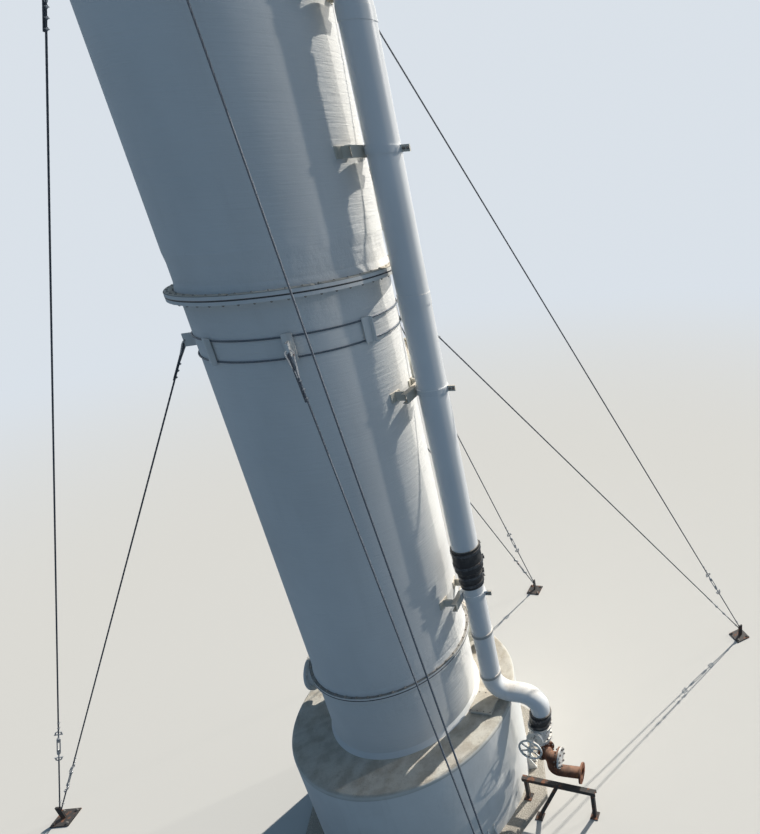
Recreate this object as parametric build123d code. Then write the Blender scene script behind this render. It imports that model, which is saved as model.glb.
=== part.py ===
"""Groundwater treatment column: a flanged glass-fibre tower on a wide sump, with its feed riser and guys.

Units are millimetres. +Z is up, the origin is on the ground at the column's axis.
An azimuth is counted from the front (-Y) towards the right-hand side (+X).
"""
from build123d import *
from math import cos, radians, sin, tan
import os

# Plinth and sump
plinth_height = 100
plinth_margin = 200
plinth_turn = 5
plinth_chamfer = 15
sump_radius = 1440
sump_wall = 16
sump_height = 1572
sump_floor_thickness = 20
lid_thickness = 60
lid_edge_round = 42

# Column shells
column_bore_radius = 914
lower_wall = 14
upper_wall = 24
overlay_thickness = 9
overlay_start = 240
overlay_taper = 90
skirt_height = 989
skirt_flare = 34
skirt_flare_height = 70
lower_section_height = 4638
upper_section_height = 3521
lower_flange_radius = 977
lower_flange_thickness = 32
mid_flange_radius = 1037
mid_flange_thickness = 38
top_flange_radius = 1030
top_flange_thickness = 38
flange_hub = 75
flange_hub_rise = 14

# Head and stack
head_rise = 230
head_bulge = 166
head_wall = 14
head_neck_height = 90
stack_bore_radius = 250
stack_wall = 8
stack_height = 560
stack_lip = 24
stack_flange_radius = 340
stack_flange_thickness = 24

# Manways
manway_azimuth = 108
manway_bore_radius = 250
manway_neck_wall = 12
manway_reach = 168
manway_flange_radius = 320
manway_flange_thickness = 30
manway_cover_thickness = 26
skirt_manway_rise = 498
lower_manway_drop = 1229
upper_manway_rise = 611

# Feed riser
riser_azimuth = 55
riser_standoff = 131
riser_radius = 154
riser_wall = 7
riser_joint_length = 110
riser_joint_rise = 5
low_joint_drop = 277
high_joint_rise = 2079
low_pipe_radius = 125
low_pipe_wall = 8
union_length = 46
union_rise = 9
union_height = 129
coupling_rise = 900
coupling_length = 557
coupling_sleeve = 14
coupling_pipe_gap = 60
clamp_length = 34
clamp_rise = 7
clamp_grip = 2

# Feed tee at the top
tee_drop = 640
tee_top_rise = 300
tee_cap_thickness = 28
feed_radius = 137
feed_wall = 7
feed_flange_radius = 235
feed_flange_thickness = 24
feed_nozzle_reach = 36

# S-bend and the leaning leg below it
bend_azimuth = 55
bend_lean = 8
bend_radius = 281
bend_inset = 105
bend_least_spool = 12
bend_neck = 30
bend_rise = 431
bend_tail = 100
sleeve_length = 230
valve_gap = 20
spigot_length = 110
valve_body_length = 180
valve_body_radius = 140
valve_flange_radius = 165
valve_flange_thickness = 26
stem_turn = -100
stem_reach = 333
stem_radius = 20
stem_end = 24
bonnet_radius = 82
bonnet_reach = 190
bonnet_flange_radius = 118
bonnet_flange_thickness = 24
yoke_arm = 24
yoke_offset = 62
yoke_length = 96
handwheel_radius = 155
handwheel_rim = 14
handwheel_hub_radius = 40
handwheel_hub_length = 30
handwheel_spokes = 6
spoke_width = 17

# Supply pipe under the valve
elbow_azimuth = 12
supply_azimuth = 50
supply_level = 655
supply_radius = 72
supply_wall = 7
bore_step = 1
supply_bend_radius = 105
elbow_spool = 40
supply_spool = 6
supply_run = 410
supply_neck = 30
supply_overlap = 10
supply_flange_radius = 130
supply_flange_thickness = 25
supply_bolt_circle_radius = 110
supply_bolt_hole_radius = 10
supply_bolts = 8
blind_reach = 112

# Pipe stand
stand_azimuth = 46
stand_shift = 84
stand_offset = 90
stand_clearance = 76
stand_section = 60
stand_wall = 6
stand_length = 1060
stand_post_spread = 960
stand_brace_along = 258
stand_brace_aside = 169
stand_foot = 110
stand_foot_thickness = 14

# Riser brackets
bracket_1_rise = 759
bracket_2_drop = 1219
bracket_3_rise = 1061
bracket_4_drop = 1250
bracket_arm_half = 280
bracket_arm_depth = 60
bracket_arm_height = 100
bracket_gusset = 14
bracket_gusset_offset = 190
bracket_pad_width = 150
bracket_pad_thickness = 12
clamp_strap = 10
clamp_width = 60
clamp_ear = 90

# Hoops, spreaders, lugs and guys
hoop_radius = 8
lower_hoop_drops = (567, 374)
upper_hoop_drops = (1097, 904)
spreader_azimuths = (33, 123, 213, 303)
spreader_width = 96
spreader_plate = 12
spreader_leg = 46
spreader_overlap = 24
lug_azimuths = (-10, 80, 170, -100)
lug_width = 90
lug_plate = 12
lug_overlap = 30
lug_reach = 120
lug_thickness = 22
guy_seat = 14
anchor_azimuths = (5.6, 88, 137, -116)
anchor_reaches = (4020, 5600, 4280, 5300)
anchor_plate = 260
anchor_plate_thickness = 20
anchor_eye_height = 150
anchor_fin_thickness = 24
anchor_fin_width = 70
guy_radius = 8
guy_spacing = 44
turnbuckle_offset = 620
turnbuckle_stagger = 260
turnbuckle_length = 330
turnbuckle_boss_length = 46
turnbuckle_boss_radius = 18
turnbuckle_bar_radius = 6
turnbuckle_bar_offset = 15

# Nozzles
air_nozzle_azimuth = -122
air_nozzle_rise = 498
air_nozzle_radius = 203
air_nozzle_reach = 240
outlet_azimuth = 132.5
outlet_rise = 300
outlet_radius = 110
outlet_reach = 220
nozzle_wall = 8
nozzle_flange_thickness = 26
nozzle_flange_margin = 66
nozzle_bolt_margin = 38
nozzle_bolt_hole_radius = 11
nozzle_bolts = 8
lid_nozzle_azimuth = 107
lid_nozzle_inset = 210
lid_nozzle_radius = 84
lid_nozzle_height = 150
lid_nozzle_ribs = 4
lid_rib_rise = 12
lid_rib_thickness = 12
lid_rib_pitch = 30

# Lid hatch
hatch_azimuth = 49
hatch_clearance = 24
hatch_length = 300
hatch_width = 290
hatch_frame = 26
hatch_frame_height = 34
hatch_cover_overhang = 12
hatch_cover_thickness = 14

# Hold-down lugs
holddown_count = 8
holddown_turn = 20
holddown_height = 260
holddown_reach = 120
holddown_width = 110
holddown_plate = 14
holddown_foot = 18

# Levels and reaches worked out from the sizes above
plinth_flats = 2 * (sump_radius + plinth_margin)
sump_base = plinth_height
shell_base = sump_base + sump_floor_thickness
lid_base = shell_base + sump_height
lid_top = lid_base + lid_thickness
lower_joint = lid_top + skirt_height
mid_joint = lower_joint + lower_section_height
top_joint = mid_joint + upper_section_height
lower_shell_radius = column_bore_radius + lower_wall
upper_shell_radius = column_bore_radius + upper_wall
overlay_radius = upper_shell_radius + overlay_thickness
riser_reach = overlay_radius + riser_standoff + riser_radius
bend_turn = radians(90 - bend_lean)
bend_room = sump_radius - riser_reach - bend_inset
bend_spool = max(bend_room, bend_least_spool)
elbow_radius = bend_radius - (bend_spool - bend_room) / (1 + tan(bend_turn / 2))
tee_height = top_joint - tee_drop
riser_top = tee_height + tee_top_rise
coupling_bottom = lower_joint + coupling_rise
coupling_top = coupling_bottom + coupling_length
coupling_middle = (coupling_bottom + coupling_top) / 2
riser_foot = coupling_middle + coupling_pipe_gap / 2
low_pipe_top = coupling_middle - coupling_pipe_gap / 2
bend_top = lid_top + bend_rise
lower_hoop_heights = [mid_joint - drop for drop in lower_hoop_drops]
upper_hoop_heights = [top_joint - drop for drop in upper_hoop_drops]
spigot_start = bend_tail + valve_gap
valve_top_face = spigot_start + spigot_length
valve_bottom_face = valve_top_face + 2 * valve_flange_thickness + valve_body_length
stem_distance = valve_top_face + valve_flange_thickness + valve_body_length / 2
elbow_start = valve_bottom_face + valve_flange_thickness + elbow_spool
lid_nozzle_position = sump_radius - lid_nozzle_inset
hatch_position = lower_shell_radius + skirt_flare + hatch_clearance + hatch_width / 2

upright = (Align.CENTER, Align.CENTER, Align.MIN)
outside = (Align.MIN, Align.CENTER, Align.CENTER)
nodes = {}


def outward(azimuth, reach, height=0.0):
    """Point at a distance from the axis, in the direction of an azimuth."""
    return Vector(reach * sin(radians(azimuth)), -reach * cos(radians(azimuth)), height)


def radial_plane(azimuth, height, reach=0.0):
    """Plane whose normal points outward at an azimuth, with its local y up."""
    normal = outward(azimuth, 1)
    sideways = Vector(cos(radians(azimuth)), sin(radians(azimuth)), 0)
    return Plane(origin=outward(azimuth, reach, height), x_dir=sideways, z_dir=normal)


def disc(radius, thickness, base):
    """Upright cylinder that starts at a height."""
    return Pos(0, 0, base) * Cylinder(radius, thickness, align=upright)


def tube(outer, inner, length, base):
    """Upright tube that starts at a height."""
    return disc(outer, length, base) - disc(inner, length, base)


def revolve_profile(points):
    """Solid of revolution about the column's axis from (radius, height) points."""
    outline = Polyline(*[(radius, 0, height) for radius, height in points], close=True)
    return revolve(make_face(outline), Axis.Z, 360)


def radial_cylinder(azimuth, height, radius, start, length):
    """Cylinder that points outward at an azimuth, from a distance off the axis."""
    plane = radial_plane(azimuth, height, start)
    return plane * Cylinder(radius, length, align=upright)


def ring_of_holes(azimuth, height, circle_radius, hole_radius, count, start, length):
    """Ring of drilled holes about a radial axis."""
    plane = radial_plane(azimuth, height, start)
    hole = Cylinder(hole_radius, length, align=upright)
    return [plane * spot * hole for spot in PolarLocations(circle_radius, count, 360 / count / 2)]


def shell_section(base, height, low_flange, high_flange, low, high):
    """Hollow length of column, from its radii and thicknesses at the two flanges, with tapered hubs."""
    top = base + height
    wall = lower_shell_radius
    points = [
        (column_bore_radius, base),
        (low_flange, base),
        (low_flange, base + low),
        (wall + flange_hub_rise, base + low),
        (wall, base + low + flange_hub),
        (wall, top - high - flange_hub),
        (wall + flange_hub_rise, top - high),
        (high_flange, top - high),
        (high_flange, top),
        (column_bore_radius, top),
    ]
    return revolve_profile(points)


def skirt_section():
    """Bottom length of the column, flared where it is laid up on the lid."""
    top = lid_top + skirt_height
    flange_base = top - lower_flange_thickness
    points = [
        (column_bore_radius, lid_top),
        (lower_shell_radius + skirt_flare, lid_top),
        (lower_shell_radius, lid_top + skirt_flare_height),
        (lower_shell_radius, flange_base - flange_hub),
        (lower_shell_radius + flange_hub_rise, flange_base),
        (lower_flange_radius, flange_base),
        (lower_flange_radius, top),
        (column_bore_radius, top),
    ]
    skirt = revolve_profile(points) - manway_hole(lid_top + skirt_manway_rise)
    return skirt - radial_cylinder(air_nozzle_azimuth, lid_top + air_nozzle_rise, air_nozzle_radius,
                                   column_bore_radius / 2, column_bore_radius)


def manway_hole(height):
    """Cut through a shell wall for a manway's neck."""
    return radial_cylinder(manway_azimuth, height, manway_bore_radius, column_bore_radius / 2, column_bore_radius)


def manway(height, shell_radius):
    """Neck with its flange, and the bolted cover."""
    flange_face = shell_radius + manway_reach
    neck_radius = manway_bore_radius + manway_neck_wall
    body = radial_cylinder(manway_azimuth, height, neck_radius, column_bore_radius / 2,
                           flange_face - column_bore_radius / 2)
    body += radial_cylinder(manway_azimuth, height, manway_flange_radius,
                            flange_face - manway_flange_thickness, manway_flange_thickness)
    body -= radial_cylinder(manway_azimuth, height, manway_bore_radius, 0, flange_face + 1)
    body -= disc(shell_radius, 4 * manway_flange_radius, height - 2 * manway_flange_radius)
    cover = radial_cylinder(manway_azimuth, height, manway_flange_radius, flange_face, manway_cover_thickness)
    return body, cover


def plinth():
    block = extrude(RegularPolygon(plinth_flats / 2, 8, major_radius=False), plinth_height)
    block = Rot(0, 0, plinth_turn) * block
    return chamfer(block.faces().sort_by(Axis.Z)[-1].edges(), plinth_chamfer)


def sump_lid():
    """Lid flush with the sump's wall, with the soft rounded edge of laid-up laminate."""
    lid = tube(sump_radius, column_bore_radius, lid_thickness, lid_base)
    rim = lid.faces().sort_by(Axis.Z)[-1].edges().filter_by(GeomType.CIRCLE).sort_by(SortBy.RADIUS)[-1]
    return fillet(rim, lid_edge_round)


def sump_shell():
    shell = tube(sump_radius, sump_radius - sump_wall, sump_height, shell_base)
    return shell - radial_cylinder(outlet_azimuth, shell_base + outlet_rise, outlet_radius,
                                   sump_radius / 2, sump_radius)


def upper_section():
    """Top length of the column, thicker above a tapered overlay step."""
    base = mid_joint
    step = base + mid_flange_thickness + overlay_start
    points = [
        (column_bore_radius, base),
        (mid_flange_radius, base),
        (mid_flange_radius, base + mid_flange_thickness),
        (upper_shell_radius + flange_hub_rise, base + mid_flange_thickness),
        (upper_shell_radius, base + mid_flange_thickness + flange_hub),
        (upper_shell_radius, step),
        (overlay_radius, step + overlay_taper),
        (overlay_radius, top_joint - top_flange_thickness - flange_hub),
        (overlay_radius + flange_hub_rise, top_joint - top_flange_thickness),
        (top_flange_radius, top_joint - top_flange_thickness),
        (top_flange_radius, top_joint),
        (column_bore_radius, top_joint),
    ]
    section = revolve_profile(points) - manway_hole(mid_joint + upper_manway_rise)
    return section - radial_cylinder(riser_azimuth, tee_height, feed_radius - feed_wall,
                                     column_bore_radius / 2, column_bore_radius)


def top_head():
    """Dished head with its bolting flange and the neck for the stack."""
    base = top_joint
    flange_top = base + top_flange_thickness
    crown = flange_top + head_rise
    neck_outer = stack_bore_radius + head_wall
    neck_top = crown + head_neck_height
    half_chord = (column_bore_radius - stack_bore_radius) / 2
    outer = [
        Line((column_bore_radius, 0, base), (top_flange_radius, 0, base)),
        Line((top_flange_radius, 0, base), (top_flange_radius, 0, flange_top)),
        Line((top_flange_radius, 0, flange_top), (column_bore_radius + head_wall, 0, flange_top)),
        ThreePointArc((column_bore_radius + head_wall, 0, flange_top),
                      (stack_bore_radius + half_chord + head_wall, 0, flange_top + head_bulge + head_wall),
                      (neck_outer, 0, crown)),
        Line((neck_outer, 0, crown), (neck_outer, 0, neck_top - stack_flange_thickness)),
        Line((neck_outer, 0, neck_top - stack_flange_thickness),
             (stack_flange_radius, 0, neck_top - stack_flange_thickness)),
        Line((stack_flange_radius, 0, neck_top - stack_flange_thickness), (stack_flange_radius, 0, neck_top)),
        Line((stack_flange_radius, 0, neck_top), (stack_bore_radius, 0, neck_top)),
        Line((stack_bore_radius, 0, neck_top), (stack_bore_radius, 0, crown - head_wall)),
        ThreePointArc((stack_bore_radius, 0, crown - head_wall),
                      (stack_bore_radius + half_chord, 0, flange_top + head_bulge),
                      (column_bore_radius, 0, flange_top)),
        Line((column_bore_radius, 0, flange_top), (column_bore_radius, 0, base)),
    ]
    return revolve(make_face(Wire(outer)), Axis.Z, 360), neck_top


def exhaust_stack(base):
    outer = stack_bore_radius + stack_wall
    stack = tube(outer, stack_bore_radius, stack_height, base)
    stack += tube(stack_flange_radius, stack_bore_radius, stack_flange_thickness, base)
    return stack + tube(outer + stack_wall, stack_bore_radius, stack_lip, base + stack_height - stack_lip)


def on_riser(shape):
    """Move a shape made on the origin's axis to the riser's axis."""
    spot = outward(riser_azimuth, riser_reach)
    return Pos(spot.X, spot.Y, 0) * shape


def riser_upper():
    """Plastic feed pipe with its sleeve joints, blind cap and the branch into the column."""
    length = riser_top - riser_foot
    pipe = disc(riser_radius, length, riser_foot)
    for height in (mid_joint - low_joint_drop, mid_joint + high_joint_rise):
        pipe += disc(riser_radius + riser_joint_rise, riser_joint_length, height - riser_joint_length / 2)
    pipe = on_riser(pipe + disc(feed_flange_radius, tee_cap_thickness, riser_top - tee_cap_thickness))
    face = overlay_radius + feed_nozzle_reach
    pipe += radial_cylinder(riser_azimuth, tee_height, feed_radius, face, riser_reach - face)
    pipe += radial_cylinder(riser_azimuth, tee_height, feed_flange_radius, face, feed_flange_thickness)
    pipe -= on_riser(disc(riser_radius - riser_wall, length - tee_cap_thickness, riser_foot))
    return pipe - radial_cylinder(riser_azimuth, tee_height, feed_radius - feed_wall, overlay_radius,
                                  riser_reach - overlay_radius)


def feed_nozzle():
    """Flanged stub on the column that takes the riser's branch."""
    flange_face = overlay_radius + feed_nozzle_reach
    body = radial_cylinder(riser_azimuth, tee_height, feed_radius, column_bore_radius / 2,
                           flange_face - column_bore_radius / 2)
    body += radial_cylinder(riser_azimuth, tee_height, feed_flange_radius,
                            flange_face - feed_flange_thickness, feed_flange_thickness)
    body -= radial_cylinder(riser_azimuth, tee_height, feed_radius - feed_wall, 0, flange_face + 1)
    return body - disc(overlay_radius, 4 * feed_flange_radius, tee_height - 2 * feed_flange_radius)


def clamp_band(radius, base):
    """Steel band round a rubber sleeve, biting a little into it."""
    return tube(radius + clamp_rise, radius - clamp_grip, clamp_length, base)


def riser_coupling():
    """Rubber reducing sleeve over both pipe ends, with its clamp bands."""
    low = low_pipe_radius + coupling_sleeve
    high = riser_radius + coupling_sleeve
    points = [
        (low_pipe_radius, coupling_bottom),
        (low, coupling_bottom),
        (low, coupling_middle - 2 * clamp_length),
        (high, coupling_middle - clamp_length),
        (high, coupling_top),
        (riser_radius, coupling_top),
        (riser_radius, riser_foot),
        (low_pipe_radius, riser_foot),
    ]
    sleeve = revolve_profile(points)
    for height in (coupling_bottom + clamp_length, coupling_middle - 4 * clamp_length):
        sleeve += clamp_band(low, height)
    for height in (coupling_top - 2 * clamp_length, coupling_middle + clamp_length):
        sleeve += clamp_band(high, height)
    return on_riser(sleeve)


def riser_lower():
    inner = low_pipe_radius - low_pipe_wall
    pipe = tube(low_pipe_radius, inner, low_pipe_top - bend_top, bend_top)
    pipe += tube(low_pipe_radius + union_rise, inner, union_length, lower_joint + union_height)
    pipe += tube(low_pipe_radius + union_rise, inner, union_length, bend_top)
    return on_riser(pipe)


def bend_route():
    """Corners of the S-bend's centre line, its mouth, and the direction of the leg below."""
    down = Vector(0, 0, -1)
    aside = outward(bend_azimuth, 1)
    across = aside * sin(bend_turn) + down * cos(bend_turn)
    leg = down * cos(radians(bend_lean)) - aside * sin(radians(bend_lean))
    tangent = elbow_radius * tan(bend_turn / 2)
    start = outward(riser_azimuth, riser_reach, bend_top)
    first_corner = start + down * (bend_neck + tangent)
    second_corner = first_corner + across * (tangent + bend_spool + elbow_radius)
    mouth = second_corner + leg * elbow_radius
    return start, first_corner, second_corner, mouth, leg


def s_bend():
    """Two elbows and a short tail that carry the feed from the leaning leg to the riser."""
    start, first_corner, second_corner, mouth, leg = bend_route()
    path = FilletPolyline(start, first_corner, second_corner, mouth + leg * bend_tail, radius=elbow_radius)
    section = Plane(origin=start, z_dir=(0, 0, -1))
    outer = sweep(section * Circle(low_pipe_radius), path=path)
    return outer - sweep(section * Circle(low_pipe_radius - low_pipe_wall), path=path)


def on_leg(distance):
    """Plane across the leg at a distance below the mouth, its z up the leg, its x in the plane of the S-bend."""
    mouth, leg = bend_route()[3:]
    return Plane(origin=mouth + leg * distance, x_dir=leg.cross(outward(bend_azimuth, 1)).cross(leg), z_dir=-leg)


def leg_disc(radius, thickness, distance):
    """Cylinder on the leg's axis whose upper face is at a distance below the mouth."""
    return on_leg(distance) * Cylinder(radius, thickness, align=(Align.CENTER, Align.CENTER, Align.MAX))


def inlet_coupling():
    """Rubber sleeve between the S-bend and the valve, with its clamp bands."""
    outer = low_pipe_radius + coupling_sleeve
    sleeve = leg_disc(outer, sleeve_length, 0)
    for distance in (clamp_length, sleeve_length - 2 * clamp_length):
        sleeve += leg_disc(outer + clamp_rise, clamp_length, distance)
    return sleeve - leg_disc(low_pipe_radius, sleeve_length, 0)


def stem_plane(distance):
    """Plane whose normal runs along the valve's stem, at a distance from the leg's axis."""
    middle = on_leg(stem_distance)
    turn = radians(stem_turn)
    direction = middle.x_dir * cos(turn) + middle.y_dir * sin(turn)
    return Plane(origin=middle.origin + direction * distance, x_dir=middle.z_dir, z_dir=direction)


def stem_cylinder(radius, start, length):
    return stem_plane(start) * Cylinder(radius, length, align=upright)


def inlet_valve():
    """Gate valve: spigot, drilled-flange body, bonnet, yoke and stem."""
    inner = low_pipe_radius - low_pipe_wall
    bore_length = valve_bottom_face - spigot_start
    body = leg_disc(low_pipe_radius, spigot_length, spigot_start)
    body += leg_disc(valve_flange_radius, valve_flange_thickness, valve_top_face)
    body += leg_disc(valve_body_radius, valve_body_length, valve_top_face + valve_flange_thickness)
    body += leg_disc(valve_flange_radius, valve_flange_thickness, valve_bottom_face - valve_flange_thickness)
    body += stem_cylinder(bonnet_radius, 0, bonnet_reach)
    body += stem_cylinder(bonnet_flange_radius, bonnet_reach - bonnet_flange_thickness, bonnet_flange_thickness)
    for side in (-1, 1):
        arm = Pos(side * yoke_offset, 0, 0) * Box(yoke_arm, yoke_arm, yoke_length, align=upright)
        body += stem_plane(bonnet_reach) * arm
    crosshead = Box(2 * yoke_offset + yoke_arm, 2 * yoke_arm, yoke_arm, align=upright)
    body += stem_plane(bonnet_reach + yoke_length) * crosshead
    body += stem_cylinder(stem_radius, 0, stem_reach + stem_end)
    return body - leg_disc(inner, bore_length, spigot_start)


def valve_handwheel():
    """Rim, hub and spokes, bored to sit on the stem."""
    plane = stem_plane(stem_reach)
    wheel = Torus(handwheel_radius, handwheel_rim) + Cylinder(handwheel_hub_radius, handwheel_hub_length)
    spoke_length = handwheel_radius - stem_radius
    for spot in PolarLocations(0, handwheel_spokes):
        spoke = Pos(stem_radius + spoke_length / 2, 0, 0) * Box(spoke_length, spoke_width, handwheel_rim)
        wheel += spot * spoke
    return plane * (wheel - Cylinder(stem_radius, handwheel_hub_length))


def supply_route():
    """Corners of the supply pipe's centre line, from under the valve to its flanged end."""
    mouth, leg = bend_route()[3:]
    aside = outward(elbow_azimuth, 1)
    tangent = supply_bend_radius * tan(radians(leg.get_angle(aside)) / 2)
    corner = mouth + leg * (elbow_start + tangent)
    joint = corner + aside * (tangent + supply_flange_thickness)
    drop = joint + aside * (supply_flange_thickness + supply_spool + supply_bend_radius)
    foot = Vector(drop.X, drop.Y, supply_level)
    return corner, joint, drop, foot, foot + outward(supply_azimuth, supply_run)


def level_disc(azimuth, radius, thickness, origin):
    """Cylinder that starts at a point and runs level at an azimuth."""
    plane = Plane(origin=origin, x_dir=outward(azimuth + 90, 1), z_dir=outward(azimuth, 1))
    return plane * Cylinder(radius, thickness, align=upright)


def valve_elbow():
    """Painted elbow bolted under the valve, turning the leg level."""
    mouth, leg = bend_route()[3:]
    corner, joint, drop, foot, end = supply_route()
    start = mouth + leg * valve_bottom_face
    path = FilletPolyline(start, corner, joint, radius=supply_bend_radius)
    section = Plane(origin=start, z_dir=leg)
    elbow = sweep(section * Circle(supply_radius), path=path)
    elbow += leg_disc(valve_flange_radius, valve_flange_thickness, valve_bottom_face)
    elbow += level_disc(elbow_azimuth + 180, supply_flange_radius, supply_flange_thickness, joint)
    return elbow - sweep(section * Circle(supply_radius - supply_wall), path=path)


def inlet_elbow():
    """Rusty drop with a blinded stub, ending in the flange that the supply bolts to, and the blind flange."""
    corner, joint, drop, foot, end = supply_route()
    bent = supply_bend_radius + supply_neck
    path = FilletPolyline(joint, drop, foot, foot + outward(supply_azimuth, bent), radius=supply_bend_radius)
    section = Plane(origin=joint, z_dir=outward(elbow_azimuth, 1))
    bore = supply_radius - supply_wall
    run = supply_run - bent + supply_overlap
    stub_face = drop + outward(supply_azimuth, blind_reach)
    pipe = sweep(section * Circle(supply_radius), path=path)
    pipe += level_disc(supply_azimuth + 180, supply_radius + bore_step, run, end)
    pipe += level_disc(supply_azimuth, supply_radius - bore_step, blind_reach, drop)
    pipe += level_disc(elbow_azimuth, supply_flange_radius, supply_flange_thickness, joint)
    for face in (stub_face, end):
        pipe += level_disc(supply_azimuth + 180, supply_flange_radius, supply_flange_thickness, face)
    pipe -= sweep(section * Circle(bore - bore_step), path=path)
    pipe -= level_disc(supply_azimuth + 180, bore, run, end)
    pipe -= level_disc(supply_azimuth, bore - 2 * bore_step, blind_reach, drop)
    plane = Plane(origin=end, x_dir=(0, 0, 1), z_dir=outward(supply_azimuth + 180, 1))
    hole = Cylinder(supply_bolt_hole_radius, supply_flange_thickness, align=upright)
    for spot in PolarLocations(supply_bolt_circle_radius, supply_bolts, 360 / supply_bolts / 2):
        pipe -= plane * spot * hole
    return pipe, level_disc(supply_azimuth, supply_flange_radius, supply_flange_thickness, stub_face)


def pipe_stand():
    """Steel channel below the supply pipe, on a post at each end and one slanting brace."""
    foot = supply_route()[3]
    middle = foot + outward(stand_azimuth, stand_shift) + outward(stand_azimuth - 90, stand_offset)
    frame = Plane(origin=(middle.X, middle.Y, 0), x_dir=outward(stand_azimuth, 1), z_dir=(0, 0, 1))
    beam_top = supply_level - supply_radius - stand_clearance
    beam_base = beam_top - stand_section
    inner = stand_section - 2 * stand_wall
    stand = Pos(0, 0, beam_base) * Box(stand_length, stand_section, stand_section, align=upright)
    stand -= Pos(0, 0, beam_base) * Box(stand_length, inner, stand_section - stand_wall, align=upright)
    for side, ground in ((-1, plinth_height), (1, 0)):
        spot = Pos(side * stand_post_spread / 2, 0, ground)
        stand += spot * Box(inner, inner, beam_top - stand_wall - ground, align=upright)
        stand += spot * Box(stand_foot, stand_foot, stand_foot_thickness, align=upright)
    low = Vector(-stand_brace_along, -stand_brace_aside, stand_foot_thickness)
    high = Vector(0, 0, beam_top - stand_wall)
    brace = Box(inner, inner, (high - low).length, align=upright)
    stand += Plane(origin=low, z_dir=high - low) * brace
    stand += Pos(low.X, low.Y, 0) * Box(stand_foot, stand_foot, stand_foot_thickness, align=upright)
    return frame * stand


def riser_bracket(height):
    """Channel on two gusset plates and pads behind the riser, with the strap that clamps the pipe."""
    shell_radius = overlay_radius if height > mid_joint else lower_shell_radius
    pipe = riser_radius if height > riser_foot else low_pipe_radius
    channel_face = riser_reach - pipe
    channel_back = channel_face - bracket_arm_depth
    plane = Plane(origin=outward(riser_azimuth, 0, height), x_dir=outward(riser_azimuth, 1), z_dir=(0, 0, 1))
    arm = Box(bracket_arm_depth, 2 * bracket_arm_half, bracket_arm_height, align=outside)
    arm -= Pos(-bracket_gusset / 2, 0, 0) * Box(
        bracket_arm_depth, 2 * bracket_arm_half, bracket_arm_height - bracket_gusset,
        align=outside)
    bracket = Pos(channel_back, 0, 0) * arm
    for side in (-1, 1):
        root = Pos(lower_shell_radius / 2, side * bracket_gusset_offset, 0)
        length = channel_back - lower_shell_radius / 2
        bracket += root * Box(length, bracket_gusset, bracket_arm_height, align=outside)
        pad = Cylinder(shell_radius + bracket_pad_thickness, bracket_arm_height)
        window = Pos(shell_radius, side * bracket_gusset_offset, 0) * Box(
            2 * bracket_pad_width, bracket_pad_width, bracket_arm_height)
        bracket += pad & window
    strap = Pos(riser_reach, 0, 0) * (Cylinder(pipe + clamp_strap, clamp_width) - Cylinder(pipe, clamp_width * 2))
    ear = Pos(riser_reach + pipe, 0, 0) * Box(clamp_ear, 2 * clamp_strap, clamp_width,
                                              align=outside)
    bracket += strap + ear
    bracket = plane * bracket
    bracket -= disc(shell_radius, 4 * bracket_arm_height, height - 2 * bracket_arm_height)
    return bracket - on_riser(disc(pipe, 4 * bracket_arm_height, height - 2 * bracket_arm_height))


def hoops(heights, shell_radius):
    """Round rods drawn tight about the shell."""
    return [Pos(0, 0, height) * Torus(shell_radius + hoop_radius, hoop_radius) for height in heights]


def hoop_spreaders(heights, shell_radius):
    """Folded plates over a pair of hoops that keep them apart, each with one upturned leg."""
    low, high = heights
    span = high - low + 2 * spreader_overlap
    middle = (low + high) / 2
    seat = shell_radius + 2 * hoop_radius
    spreaders = []
    for azimuth in spreader_azimuths:
        plane = Plane(origin=outward(azimuth, 0, middle), x_dir=outward(azimuth, 1), z_dir=(0, 0, 1))
        plate = Pos(seat - spreader_plate, 0, 0) * Box(2 * spreader_plate, spreader_width, span, align=outside)
        leg = Pos(seat, (spreader_width - spreader_plate) / 2, 0) * Box(
            spreader_leg, spreader_plate, span, align=outside)
        spreaders.append(plane * (plate + leg) - disc(seat, 2 * span, middle - span))
    return spreaders


def guy_lugs(heights, shell_radius, level):
    """Plates over a pair of hoops, each with the fin that a guy is made fast to."""
    low, high = heights
    span = high - low + 2 * lug_overlap
    middle = (low + high) / 2
    seat = shell_radius + 2 * hoop_radius
    lugs = []
    for index, azimuth in enumerate(lug_azimuths):
        plane = Plane(origin=outward(azimuth, 0, middle), x_dir=outward(azimuth, 1), z_dir=(0, 0, 1))
        plate = Pos(seat - lug_plate, 0, 0) * Box(2 * lug_plate, lug_width, span, align=outside)
        fin = Pos(seat, 0, 0) * Box(lug_reach, lug_thickness, span / 2, align=outside)
        lug = plane * (plate + fin) - disc(seat, 2 * span, middle - span)
        lugs.append(lug - guy_line(index, level))
    return lugs


def guy_ends(index, level):
    """Where a guy starts, just inside the tip of its lug's fin, and where it ends at its anchor."""
    heights, radius = ((lower_hoop_heights, lower_shell_radius), (upper_hoop_heights, overlay_radius))[level]
    start = outward(lug_azimuths[index], radius + 2 * hoop_radius + lug_reach - guy_seat, sum(heights) / 2)
    end = outward(anchor_azimuths[index], anchor_reaches[index],
                  anchor_plate_thickness + anchor_eye_height + level * guy_spacing)
    return start, end


def guy_line(index, level):
    """The bare cable of one guy, drawn straight."""
    start, end = guy_ends(index, level)
    run = end - start
    return Plane(origin=start, z_dir=run) * Cylinder(guy_radius, run.length, align=upright)


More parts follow.
